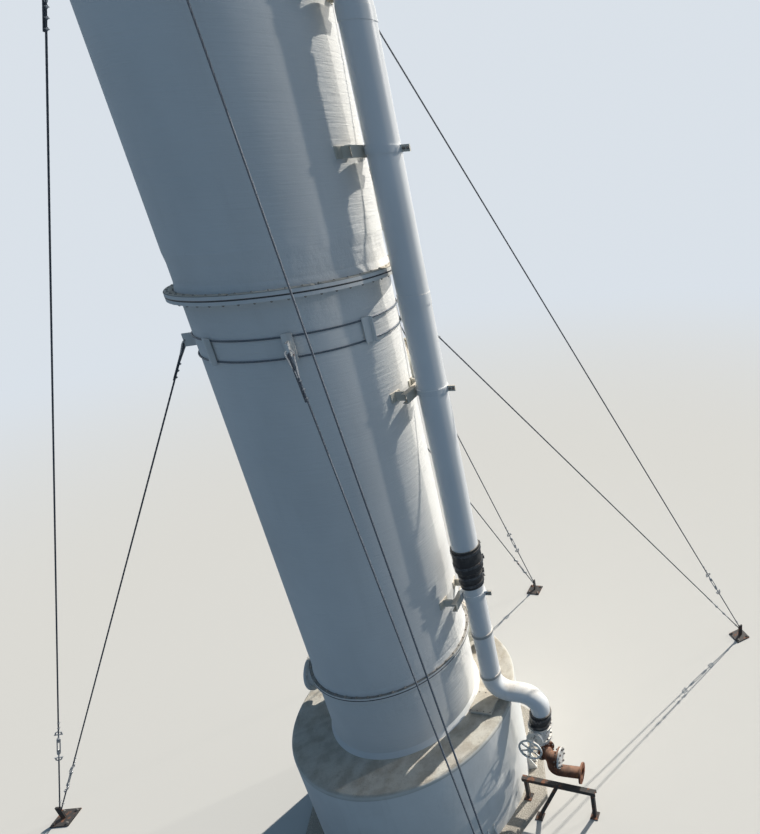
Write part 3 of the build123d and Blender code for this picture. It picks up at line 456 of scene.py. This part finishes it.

# %% [markdown]
# Rubber, galvanised steel and wire rope are small on the picture but set its contrast. Rubber is nearly
# black with a bloom of dust. Zinc has soft spangles in two greys. The wires of the hoop bands are dull
# blue-grey. On a rope the grooves are painted dark, as dirt and painted shade, and the crowns of the
# strands light, as bared steel and painted highlight, so its material reads a point attribute, `crown`,
# that the rope's cell writes further down: how far each point stands out from the rope's line.

# %% Rubber, zinc and dark steel
black_rubber, tree, shader = start_material("black_rubber", 0.55)
bloom = rescale(tree, stretched_noise(tree, (14, 14, 14), 5.0, 0.6), 0.45, 0.75)
lying = place_group(tree, dust_lies, Amount=0.5, Patchiness=0.8)["Mask"]
worn = blend(tree, bloom, (0.016, 0.017, 0.019, 1), (0.060, 0.058, 0.055, 1))
tree.links.new(blend(tree, lying, worn, (0.30, 0.26, 0.21, 1)), shader.inputs["Base Color"])
set_bump(tree, shader, bloom, 0.4, 0.002)


def bare_metal(name, dull, bright, roughness, metallic, rust_amount):
    """Metal in two shades of a spangle noise, with rust in patches where the amount lets it through."""
    material, tree, shader = start_material(name, roughness, metallic=metallic)
    spot = add_node(tree, "ShaderNodeTexCoord").outputs["Object"]
    cells = add_node(tree, "ShaderNodeTexVoronoi", {"Vector": spot, "Scale": 120.0}).outputs["Color"]
    spangle = add_node(tree, "ShaderNodeSeparateColor", {0: cells}).outputs[0]
    metal = blend(tree, spangle, dull, bright)
    patch = stretched_noise(tree, (11, 11, 11), 5.0, 0.65)
    patch = rescale(tree, patch, 0.66 - rust_amount, 0.78 - rust_amount)
    tree.links.new(blend(tree, patch, metal, (0.20, 0.085, 0.045, 1)), shader.inputs["Base Color"])
    tree.links.new(rescale(tree, patch, 0, 1, metallic, 0.0), shader.inputs["Metallic"])
    tree.links.new(rescale(tree, patch, 0, 1, roughness, 0.9), shader.inputs["Roughness"])
    set_bump(tree, shader, patch, 0.4, 0.001)
    return material


zinc = bare_metal(
    "zinc", (0.33, 0.34, 0.35, 1), (0.52, 0.52, 0.52, 1), roughness=0.48, metallic=0.7, rust_amount=0.06)
strap_steel = bare_metal(
    "strap_steel", (0.060, 0.062, 0.066, 1), (0.15, 0.15, 0.155, 1), roughness=0.32, metallic=0.6,
    rust_amount=0.03)
dark_steel = bare_metal(
    "dark_steel", (0.035, 0.032, 0.030, 1), (0.060, 0.054, 0.050, 1), roughness=0.7, metallic=0.2,
    rust_amount=0.14)
stay_wire = bare_metal(
    "stay_wire", (0.055, 0.072, 0.094, 1), (0.110, 0.135, 0.165, 1), roughness=0.55, metallic=0.15,
    rust_amount=0.0)
bolt_steel = bare_metal(
    "bolt_steel", (0.10, 0.095, 0.09, 1), (0.20, 0.19, 0.175, 1), roughness=0.55, metallic=0.5,
    rust_amount=0.10)
dusty_bolt = bare_metal(
    "dusty_bolt", (0.29, 0.26, 0.22, 1), (0.43, 0.395, 0.345, 1), roughness=0.8, metallic=0.1,
    rust_amount=0.08)

# %% Wire rope
rope_wire, tree, shader = start_material("rope_wire", 0.5, metallic=0.1)
crown = add_node(tree, "ShaderNodeAttribute", attribute_name="crown").outputs["Fac"]
# Dark grooves are dirt and painted shade; light crowns are bared steel and painted highlight.
bared_and_glinting = rescale(tree, crown, 0.92, 1.0)
groove_dirt_and_shade, worn_and_glinting_crown = (0.012, 0.018, 0.028, 1), (0.33, 0.37, 0.42, 1)
tree.links.new(blend(tree, bared_and_glinting, groove_dirt_and_shade, worn_and_glinting_crown), shader.inputs["Base Color"])

# %% [markdown]
# ## Dress the rigid parts
# The CAD parts keep their meshes and only change material. The table says which finish each one has. The
# plain guys stand in it too, although ropes take their place below.

# %% Give every rigid part its finish
finishes = {
    shell_white: ("skirt_section", "lower_section", "upper_section"),
    head_white: ("top_head", "exhaust_stack", "feed_nozzle", "air_inlet_nozzle"),
    sump_white: ("sump_shell", "sump_floor", "sump_holddowns", "sump_outlet_nozzle", "lid_nozzle"),
    lid_dusty: ("sump_lid", "lid_hatch"),
    manway_beige: ("manway_skirt_neck", "manway_skirt_cover", "manway_lower_neck", "manway_lower_cover",
                   "manway_upper_neck", "manway_upper_cover"),
    pipe_white: ("riser_upper", "riser_lower", "s_bend"),
    bracket_beige: ("riser_bracket_1", "riser_bracket_2", "riser_bracket_3", "riser_bracket_4"),
    plinth_concrete: ("plinth",),
    rusty_pipe: ("inlet_elbow",),
    chipped_white: ("inlet_valve", "valve_handwheel", "valve_elbow", "blind_flange"),
    black_rubber: ("riser_coupling", "inlet_coupling"),
    painted_steel: ("lower_guy_lugs", "upper_guy_lugs"),
    dark_steel: ("pipe_stand", "ground_anchors"),
    stay_wire: ("lower_hoops", "upper_hoops", "guy_front", "guy_right", "guy_back", "guy_left"),
}
for material, names in finishes.items():
    for name in names:
        slots = nodes[name].data.materials
        slots.clear()
        slots.append(material)
print(sum(len(names) for names in finishes.values()), "of", len(nodes), "parts have a finish")

# %% [markdown]
# ## Nuts and studs
# Every joint on the plant is bolted. A stud shows as a flat washer, a six-sided nut with chamfered
# corners and a short end of thread. A screw thread could be cut on each, but from a few metres away only
# the outline and the shadow count, so each is three short stacks of rings with ten, six and eight
# corners.

# %% A nut on its stud
def stack(profile, corners):
    """Stack of rings about z: (radius*cos(t), radius*sin(t), height) for each pair in the profile."""
    radius, height = np.array(profile, float).T[:, :, None]
    t = 2 * np.pi * np.arange(corners) / corners
    parts = np.broadcast_arrays(radius * np.cos(t), radius * np.sin(t), height)
    return loft(np.stack(parts, axis=-1))


def nut_and_stud(size, stud_out=0.4):
    """Washer, nut and stud end for a thread of a size, standing on z = 0 with its foot a little below."""
    washer = stack([(0.95 * size, -0.001), (0.95 * size, 0.17 * size)], 10)
    nut = stack([(0.87 * size, 0), (0.87 * size, 0.86 * size), (0.72 * size, 0.98 * size)], 6)
    shank, tip = (0.9 + stud_out) * size, (1 + stud_out) * size
    stud = stack([(0.5 * size, 0), (0.5 * size, shank), (0.38 * size, tip)], 8)
    return join([washer, nut, stud])


print("a nut and stud have", len(nut_and_stud(0.013)[0]), "points")


def bolt_both_sides(size, middle, direction, radius, count, thick, first=0.5):
    """A circle of nuts on each face of a joint: thick holds the distances from the middle to the faces."""
    direction = np.asarray(direction, float)
    nut = nut_and_stud(size)
    sides = []
    for side, distance in zip((1, -1), thick):
        places, turns = bolt_circle(middle + side * distance * direction, direction, radius, count, first)
        sides.append(copies(nut, places, turns * np.array([1, side, side])[:, None]))
    return join(sides)


# %% [markdown]
# The three big joints and the stack are bolted upright, the manway covers along their own axes. From the
# lowest joint up, each row below gives the radius of the bolt circle, the count, the flange's thickness
# and the part of a step at which the first bolt stands. The lowest circle is turned so that its nuts fall
# where the photograph has them.

# %% Flange bolts
stack_joint = 11.258
upright_joints = (*joint_heights, stack_joint)
bolt_rows = (
    (0.957, 44, 0.032, 0.83),
    (1.006, 48, 0.038, 0.5),
    (0.999, 48, 0.038, 0.5),
    (0.305, 12, 0.024, 0.5),
)
big_bolts = join([
    bolt_both_sides(0.013, outward(0, 0, height), (0, 0, 1), radius, count, (thick, thick), first)
    for height, (radius, count, thick, first) in zip(upright_joints, bolt_rows)])
build("flange_bolts", *big_bolts, dusty_bolt)

manway_azimuth = 108
to_manway = outward(manway_azimuth)
manways = [outward(manway_azimuth, face, height)
           for height, face in ((2.250, 1.096), (6.150, 1.096), (7.990, 1.115))]
cover_bolts = [bolt_both_sides(0.016, middle, to_manway, 0.292, 24, (0.026, 0.030)) for middle in manways]
build("manway_bolts", *join(cover_bolts), bolt_steel)

# %% [markdown]
# The inlet has smaller joints at odd angles. Each needs only the middle of the joint, the direction along
# the pipe and the distances to the two outer faces. The middles are found by walking along the pipe: from
# the S-bend's mouth down the leg, which leans back by eight degrees, to the valve's lower flange and on
# to the elbow's corner, from there level to the joint with the rusty pipe, and then aside to the blind
# flange.

# %% Bolts of the inlet, the feed nozzle and the hold-downs
lean = np.radians(8)
leg = outward(riser_azimuth + 180, np.sin(lean), -np.cos(lean))
mouth = outward(riser_azimuth, 1.815, 1.543)
valve_joint = mouth + 0.462 * leg
corner = mouth + 0.6443 * leg
along_elbow, along_supply = outward(12), outward(50)
elbow_joint = corner + 0.1413 * along_elbow
blind_joint = elbow_joint + 0.136 * along_elbow + 0.112 * along_supply
pipe_bolts = join([
    bolt_both_sides(0.012, valve_joint, leg, 0.152, 8, (0.026, 0.026)),
    bolt_both_sides(0.016, elbow_joint, along_elbow, 0.108, 8, (0.025, 0.025)),
    bolt_both_sides(0.016, blind_joint, along_supply, 0.108, 8, (0.025, 0.025)),
])
build("inlet_bolts", *pipe_bolts, bolt_steel)

feed_middle = outward(riser_azimuth, 1.007, 10.26)
feed_places, feed_axes = bolt_circle(feed_middle, outward(riser_azimuth), 0.190, 12)
foot_azimuths = 20 + 45 * np.arange(8)
foot_places = outward(foot_azimuths, 1.512, 0.118)
upright_axes = axes_along((0, 0, 1), rng.uniform(0, 1, 8))
build("feed_and_foot_bolts", *join([
    copies(nut_and_stud(0.020), feed_places, feed_axes),
    copies(nut_and_stud(0.026, 2.2), foot_places, upright_axes),
]), bolt_steel)

# %% [markdown]
# ## Gaskets and backing rings
# Between two flanges lies a sheet of black rubber that squeezes out a little, which draws the fine dark
# line round every joint. `ring` turns a closed outline about an axis. On the middle joint the load of the
# nuts is spread by flat steel segments with gaps between them: short strips of the same outline, closed
# at both ends.

# %% Gaskets
def ring(profile, corners, middle=(0, 0, 0), direction=(0, 0, 1)):
    """Closed outline of (radius, height) pairs turned about a line: quads close it both ways, as a torus."""
    radius, height = np.array(profile, float).T[:, :, None]
    t = 2 * np.pi * np.arange(corners) / corners
    x, y, z = axes_along(direction, np.zeros(1))[0]
    round_it = np.cos(t)[:, None] * x + np.sin(t)[:, None] * y
    points = np.asarray(middle) + radius[..., None] * round_it + height[..., None] * z
    index = np.arange(len(profile) * corners).reshape(len(profile), corners)
    on, up = np.roll(index, -1, axis=1), np.roll(index, -1, axis=0)
    quads = np.stack([index, on, np.roll(on, -1, axis=0), up], axis=-1)
    return points.reshape(-1, 3), [quads.reshape(-1, 4)]


def flat_ring(inner, outer, half, corners, middle=(0, 0, 0), direction=(0, 0, 1)):
    """Flat ring between two radii, half as thick on each side of its middle."""
    return ring([(inner, -half), (outer, -half), (outer, half), (inner, half)], corners, middle, direction)


flange_edges = (0.977, 1.037, 1.030, 0.340)
gaskets = [flat_ring(edge - 0.03, edge + 0.0012, 0.0065, 160, (0, 0, height))
           for height, edge in zip(upright_joints, flange_edges)]
gaskets += [flat_ring(0.290, 0.3212, 0.0022, 64, middle, to_manway) for middle in manways]
gaskets += [flat_ring(0.140, 0.1660, 0.0016, 48, valve_joint, leg),
            flat_ring(0.100, 0.1312, 0.0016, 40, elbow_joint, along_elbow),
            flat_ring(0.100, 0.1312, 0.0016, 40, blind_joint, along_supply)]
build("gaskets", *join(gaskets), black_rubber)


# %% Backing segments and the seal bands of the lower riser
def strip(first, last, inner, outer, low, high):
    """Flat strip between two azimuths: four-cornered rings every two degrees, shut at both ends."""
    azimuths = np.linspace(first, last, int(abs(last - first) / 2) + 2)[:, None]
    return loft(outward(azimuths, np.array([inner, outer, outer, inner]), np.array([low, low, high, high])))


segments = [strip(middle - 19, middle + 19, 0.966, 1.030, 7.4165, 7.4245)
            for middle in np.arange(30, 390, 40)]
build("backing_segments", *join(segments), bracket_beige)
seals = [flat_ring(0.120, 0.1358, 0.019, 56, riser_axis + (0, 0, height)) for height in (2.206, 2.893)]
build("riser_seals", *join(seals), band_grey, smooth=40)

# %% [markdown]
# ## Strap clamps on the rubber sleeves
# The sleeves that join the pipes are held by stainless straps with a T-bolt. A strap is a thin ring over
# the rubber. Its ends are rolled into two loops, which show as short upright pins, and a screw with a nut
# draws the loops together.

# %% Straps with T-bolts
def strap(radius, width, middle, direction, turn):
    """A strap about a pipe with its loops and screw at an angle: parts are built about z and then placed."""
    skin = [(radius - 0.003, 0), (radius + 0.0016, 0), (radius + 0.0016, width), (radius - 0.003, width)]
    loop = stack([(0.0095, 0), (0.0095, width)], 10)
    screw = stack([(0.0042, 0), (0.0042, 0.100)], 8)
    nut = stack([(0.0085, 0), (0.0085, 0.012)], 6)
    level = np.array([[[0, 0, 1], [1, 0, 0], [0, 1, 0]]], float)
    upright = np.eye(3)[None]
    out = radius + 0.009
    parts = [ring(skin, 56),
             copies(loop, np.array([[out, -0.022, 0], [out, 0.022, 0]]), np.repeat(upright, 2, axis=0)),
             copies(screw, np.array([[out + 0.002, -0.052, width * 0.5]]), level),
             copies(nut, np.array([[out + 0.002, 0.030, width * 0.5]]), level)]
    return copies(join(parts), np.array([middle], float), axes_along(direction, np.array([turn])))


strap_width = 0.035
riser_straps = ((0.146, 3.6745, 3.4), (0.146, 3.7830, 2.9), (0.175, 3.9530, 3.1), (0.175, 4.1295, 3.5))
straps = [strap(outer, strap_width, riser_axis + (0, 0, foot), (0, 0, 1), turn)
          for outer, foot, turn in riser_straps]
straps += [strap(0.146, strap_width, mouth + distance * leg, leg, turn)
           for distance, turn in ((0.0335, 2.2), (0.1615, 2.7))]
build("strap_clamps", *join(straps), strap_steel, smooth=40)

# %% [markdown]
# ## Guy cables
# Each guy is a steel rope of six strands. The CAD line is a plain round bar, which shows where the rope
# runs and carries the load, and the rope takes its place. Along the line the outline is a six-lobed
# flower, radius = r * (0.76 + 0.24 * |cos(3 * (angle - twist))|), and the twist grows evenly with
# distance, one turn per lay. A straight tube with a rope texture would be lighter, but its outline would
# stay smooth, and the front guy crosses the picture close to the camera.

# %% The rope surface
rope_lay = 0.150


def rope(begin, finish, radius, step, around):
    """The six-lobed flower carried along a straight line, turned once in every lay of the rope."""
    run = np.linalg.norm(finish - begin)
    distance = np.linspace(0, run, int(run / step) + 2)[:, None]
    x, y, z = axes_along(finish - begin, np.zeros(1))[0]
    angle = (2 * np.pi * np.arange(around) / around)[None, :]
    twist = 2 * np.pi * distance / rope_lay
    lobed = radius * (0.76 + 0.24 * np.abs(np.cos(3 * (angle - twist))))[..., None]
    spread = lobed * (np.cos(angle)[..., None] * x + np.sin(angle)[..., None] * y)
    return loft(begin + distance[..., None] * z + spread)


def crowns(points, begin, finish, radius):
    """For each point of a rope, its distance from the rope's line as a part of the rope's radius."""
    line = (finish - begin) / np.linalg.norm(finish - begin)
    return np.linalg.norm(np.cross(points - begin, line), axis=1) / radius


def tube(path, radius, around, normal):
    """Round tube on a flat curve: path + radius * (cos(angle) * side + sin(angle) * the plane's normal)."""
    tangent = np.gradient(path, axis=0)
    side = np.cross(tangent, normal)
    side /= np.linalg.norm(side, axis=1, keepdims=True)
    angle = 2 * np.pi * np.arange(around) / around
    spread = np.cos(angle)[None, :, None] * side[:, None] + np.sin(angle)[None, :, None] * np.asarray(normal)
    return loft(path[:, None] + radius * spread)


# %% [markdown]
# A turnbuckle near the ground draws the rope tight: two side bars between two sleeves, with a screw and a
# shackle at each end. At the lug the rope hangs in a bridle, a slim loop over the lug's fin, and clips
# hold the end that is bent back beside it. Each fitting is built once about the z axis and copied to its
# places along the rope.

# %% Turnbuckles, clips and bridles
bow = np.linspace(-np.pi / 2, np.pi / 2, 13)
arch = np.stack([0.030 * np.sin(bow), 0 * bow, 0.030 * np.cos(bow)], axis=-1)
legs = np.array([[0.030, 0, -0.035]])
shackle = join([tube(np.concatenate([legs * (-1, 1, 1), arch, legs]), 0.008, 8, (0.0, 1.0, 0.0)),
                copies(stack([(0.009, -0.045), (0.009, 0.045)], 8), np.array([[0, 0, -0.030]]),
                       np.array([[[0, 0, 1], [0, 1, 0], [-1, 0, 0]]], float))])
body_length, screw_reach = 0.330, 0.100
side_bar = stack([(0.0065, 0.020), (0.0065, body_length - 0.020)], 8)
sleeve = stack([(0.012, 0), (0.019, 0.008), (0.019, 0.040), (0.014, 0.048)], 12)
screw_end = stack([(0.008, -screw_reach - 0.010), (0.008, 0.090)], 8)
unturned = np.eye(3)[None]
turned_over = np.diag([1.0, -1.0, -1.0])[None]
turnbuckle = join([
    copies(side_bar, np.array([[-0.015, 0, 0], [0.015, 0, 0]]), np.repeat(unturned, 2, axis=0)),
    sleeve, screw_end,
    copies(join([sleeve, screw_end]), np.array([[0, 0, body_length]]), turned_over),
    copies(shackle, np.array([[0, 0, -screw_reach]]), turned_over),
    copies(shackle, np.array([[0, 0, body_length + screw_reach]]), unturned),
])
clip_bow = np.stack([0.013 * np.sin(bow), 0 * bow, 0.013 * np.cos(bow)], axis=-1)
clip = join([tube(clip_bow, 0.004, 6, (0.0, 1.0, 0.0)), stack([(0.020, -0.016), (0.020, -0.004)], 8),
             copies(nut_and_stud(0.008), np.array([[0.013, 0, -0.016], [-0.013, 0, -0.016]]),
                    np.repeat(turned_over, 2, axis=0))])
quarter = np.array([[[0, 1, 0], [0, 0, 1], [1, 0, 0]]], float)
clip = copies(clip, np.zeros((1, 3)), quarter * 0.75)
loop = np.concatenate([[[-0.004, 0, -0.250]], arch * 1.1 + (0, 0, -0.030), [[0.004, 0, -0.250]]])
bridle = tube(loop, 0.0075, 8, (0.0, 1.0, 0.0))
print("points:", len(turnbuckle[0]), "turnbuckle,", len(clip[0]), "clip,", len(bridle[0]), "bridle")

# %% [markdown]
# Two ropes, a lower and an upper one, run from each side's lugs to one ground anchor. The front rope is
# seen close by, so it has short steps and 24 points round it. The others make do with 12. Each point's
# `crown` value is its distance from the rope's line, divided by the radius.

# %% Replace the guys
rope_radius = 0.0085
# Azimuth of the lugs, then azimuth and reach of the ground anchor
guys = {
    "guy_front": (-10, 5.6, 4.02),
    "guy_right": (80, 88, 5.60),
    "guy_back": (170, 137, 4.28),
    "guy_left": (-100, -116, 5.30),
}
# Lug reach, lug height, height of the eye at the anchor, and distance from there to the turnbuckle's foot
levels = ((1.050, 6.9085, 0.170, 0.620), (1.069, 9.8995, 0.214, 1.210))
for name, (lug_azimuth, anchor_azimuth, anchor_reach) in guys.items():
    # worn collects each point's crown value, which sets both its wear colour and its painted highlight.
    fittings, ropes, worn = [], [], []
    for lug_reach, lug_height, eye_height, offset in levels:
        begin = outward(lug_azimuth, lug_reach, lug_height)
        finish = outward(anchor_azimuth, anchor_reach, eye_height)
        run = np.linalg.norm(finish - begin)
        line = (finish - begin) / run
        step, around = (0.007, 24) if name == "guy_front" else (0.018, 12)
        joint = finish - line * (offset + 0.40)
        ropes.append(rope(begin, joint, rope_radius, step, around))
        ropes.append(rope(finish - line * (offset - 0.07), finish, rope_radius, 0.018, 12))
        worn += [crowns(part[0], begin, finish, rope_radius) for part in ropes[-2:]]
        back = axes_along(-line, np.zeros(1))
        fittings.append(copies(turnbuckle, finish[None] - line * offset, back))
        fittings.append(copies(bridle, begin[None], back))
        clip_spots = np.array([0.28, 0.36, 0.44, run - offset - 0.53, run - offset - 0.63, run - 0.16])
        fittings.append(copies(clip, begin + clip_spots[:, None] * line, np.repeat(back, 6, axis=0)))
        tail = begin + 0.014 * back[0, 0]
        ropes.append(rope(tail + 0.03 * line, tail + 0.47 * line, rope_radius, 0.012, 12))
        worn.append(crowns(ropes[-1][0], tail, tail + line, rope_radius))
    shell = build(f"{name}_rope", *join(ropes), rope_wire, replaces=(name,), smooth=60)
    shell.data.attributes.new("crown", "FLOAT", "POINT").data.foreach_set(
        "value", np.concatenate(worn).astype(np.float32))
    build(f"{name}_fittings", *join(fittings), zinc, smooth=35)

# %% [markdown]
# ## Small fixings
# The pipe clamps close on two bolts beyond the riser, the ground plates are held by four anchors each,
# and the hatch board is screwed down round its edge.

# %% Clamp, anchor and hatch screws
def on_plate(azimuth, reach, height, spots):
    """Points of a level plate: its middle + out*outward + aside*across for each (out, aside) of the spots."""
    middle = outward(azimuth, reach, height)
    return middle + spots[:, :1] * outward(azimuth) + spots[:, 1:] * outward(azimuth + 90)


across_riser = outward(riser_azimuth + 90)
fixings = []
for height, pipe in ((3.500, 0.125), (6.160, 0.154), (8.440, 0.154), (9.650, 0.154)):
    for distance in (0.034, 0.070):
        for side in (-1, 1):
            spot = outward(riser_azimuth, riser_reach + pipe + distance, height)
            spot = spot + side * 0.010 * across_riser
            axes = axes_along(side * across_riser, np.array([0.3]))
            fixings.append(copies(nut_and_stud(0.014), spot[None], axes))
corners = np.array([[-1, -1], [1, -1], [1, 1], [-1, 1]]) * 0.095
plate_spots = np.concatenate([
    on_plate(anchor_azimuth, anchor_reach, 0.020, corners)
    for lug_azimuth, anchor_azimuth, anchor_reach in guys.values()])
fixings.append(copies(nut_and_stud(0.022), plate_spots, axes_along((0, 0, 1), rng.uniform(0, 1, 16))))
edge = np.linspace(-0.135, 0.135, 4)
two_rows = np.concatenate([np.stack([edge, 0 * edge + row], axis=-1) for row in (-0.145, 0.145)])
hatch_spots = on_plate(49, 1.131, 1.800, two_rows)
head = stack([(0.009, -0.001), (0.009, 0.003), (0.005, 0.0055)], 8)
fixings.append(copies(head, hatch_spots, np.repeat(unturned, 8, axis=0)))
build("small_fixings", *join(fixings), bolt_steel)

# %% [markdown]
# ## Floor, backdrop and light
# A pale floor fades into a pale backdrop, so there is no horizon to fight the column. The fade is only
# for the camera: light that bounces off the floor sees a plain, darker one, which keeps the shaded side
# of the white column in shade. A sun stands to the right and a little behind, as in the photograph. A
# weak low one grazes the front and leaves the faint lit strip beside the riser's shadow, a broad soft one
# opens that shadow a little, and the sky fills the rest.

# %% Floor
backdrop_tone = (0.70, 0.755, 0.815, 1)
floor_tone = (0.56, 0.54, 0.50, 1)
floor_bounce = (0.12, 0.15, 0.18, 1)
fade_start, fade_end = 9.0, 34.0
floor_material = bpy.data.materials.new("studio_floor")
floor_material.use_nodes = True
tree = floor_material.node_tree
tree.nodes.clear()
place = add_node(tree, "ShaderNodeTexCoord").outputs["Object"]
distance = add_node(tree, "ShaderNodeVectorMath", {0: place}, operation="LENGTH").outputs["Value"]
fade = rescale(tree, distance, fade_start, fade_end)
lit = add_node(tree, "ShaderNodeBsdfDiffuse", {"Color": floor_tone}).outputs[0]
dim = add_node(tree, "ShaderNodeBsdfDiffuse", {"Color": floor_bounce}).outputs[0]
glow = add_node(tree, "ShaderNodeEmission", {"Color": backdrop_tone}).outputs[0]
seen = add_node(tree, "ShaderNodeMixShader", {"Fac": fade, 1: lit, 2: glow}).outputs[0]
eye = add_node(tree, "ShaderNodeLightPath").outputs["Is Camera Ray"]
shown = add_node(tree, "ShaderNodeMixShader", {"Fac": eye, 1: dim, 2: seen}).outputs[0]
add_node(tree, "ShaderNodeOutputMaterial", {"Surface": shown})

around = np.linspace(0, 2 * np.pi, 96, endpoint=False)
rim = 60 * np.stack([np.cos(around), np.sin(around), 0 * around], axis=-1)
floor_mesh = bpy.data.meshes.new("studio_floor")
floor_mesh.from_pydata(rim.tolist(), [], [list(range(len(rim)))])
floor_mesh.materials.append(floor_material)
floor = bpy.data.objects.new("studio_floor", floor_mesh)
bpy.context.scene.collection.objects.link(floor)
print("the floor fades into the backdrop from", fade_start, "to", fade_end, "m")

# %% World and suns
world = bpy.data.worlds.new("studio_sky")
bpy.context.scene.world = world
world.use_nodes = True
tree = world.node_tree
tree.nodes.clear()
paths = add_node(tree, "ShaderNodeLightPath").outputs
sky_blue = (0.39, 0.65, 1.0, 1)
fill = add_node(tree, "ShaderNodeBackground", {"Color": sky_blue, "Strength": 0.275}).outputs[0]
wall = add_node(tree, "ShaderNodeBackground", {"Color": backdrop_tone, "Strength": 1.0}).outputs[0]
seen = calculate(tree, "ADD", paths["Is Camera Ray"], paths["Is Glossy Ray"], clamp=True)
seen = calculate(tree, "ADD", seen, paths["Is Transmission Ray"], clamp=True)
add_node(tree, "ShaderNodeOutputWorld", {
    "Surface": add_node(tree, "ShaderNodeMixShader", {"Fac": seen, 1: fill, 2: wall}).outputs[0]})


def sunlight(name, azimuth, height, energy, spread, colour):
    """A distant lamp that shines on the column from an azimuth and a height, all angles in degrees."""
    data = bpy.data.lights.new(name, "SUN")
    data.energy = energy
    data.angle = np.radians(spread)
    data.color = colour
    away = outward(azimuth, np.cos(np.radians(height)), np.sin(np.radians(height)))
    side = np.cross([0, 0, 1], away)
    side /= np.linalg.norm(side)
    placed = np.eye(4)
    placed[:3, 0] = side
    placed[:3, 1] = np.cross(away, side)
    placed[:3, 2] = away
    placed[:3, 3] = away * 20
    lamp = bpy.data.objects.new(name, data)
    lamp.matrix_world = Matrix(placed.tolist())
    bpy.context.scene.collection.objects.link(lamp)


sunlight("key_sun", azimuth=116, height=44, energy=4.7, spread=0.8, colour=(1.0, 0.965, 0.90))
sunlight("low_sun", azimuth=91, height=12, energy=0.95, spread=1.5, colour=(1.0, 0.95, 0.88))
sunlight("soft_side", azimuth=84, height=30, energy=0.35, spread=70, colour=(1.0, 0.98, 0.95))
bpy.context.scene.view_settings.view_transform = "Standard"
print("lamps:", [lamp.name for lamp in bpy.data.lights])
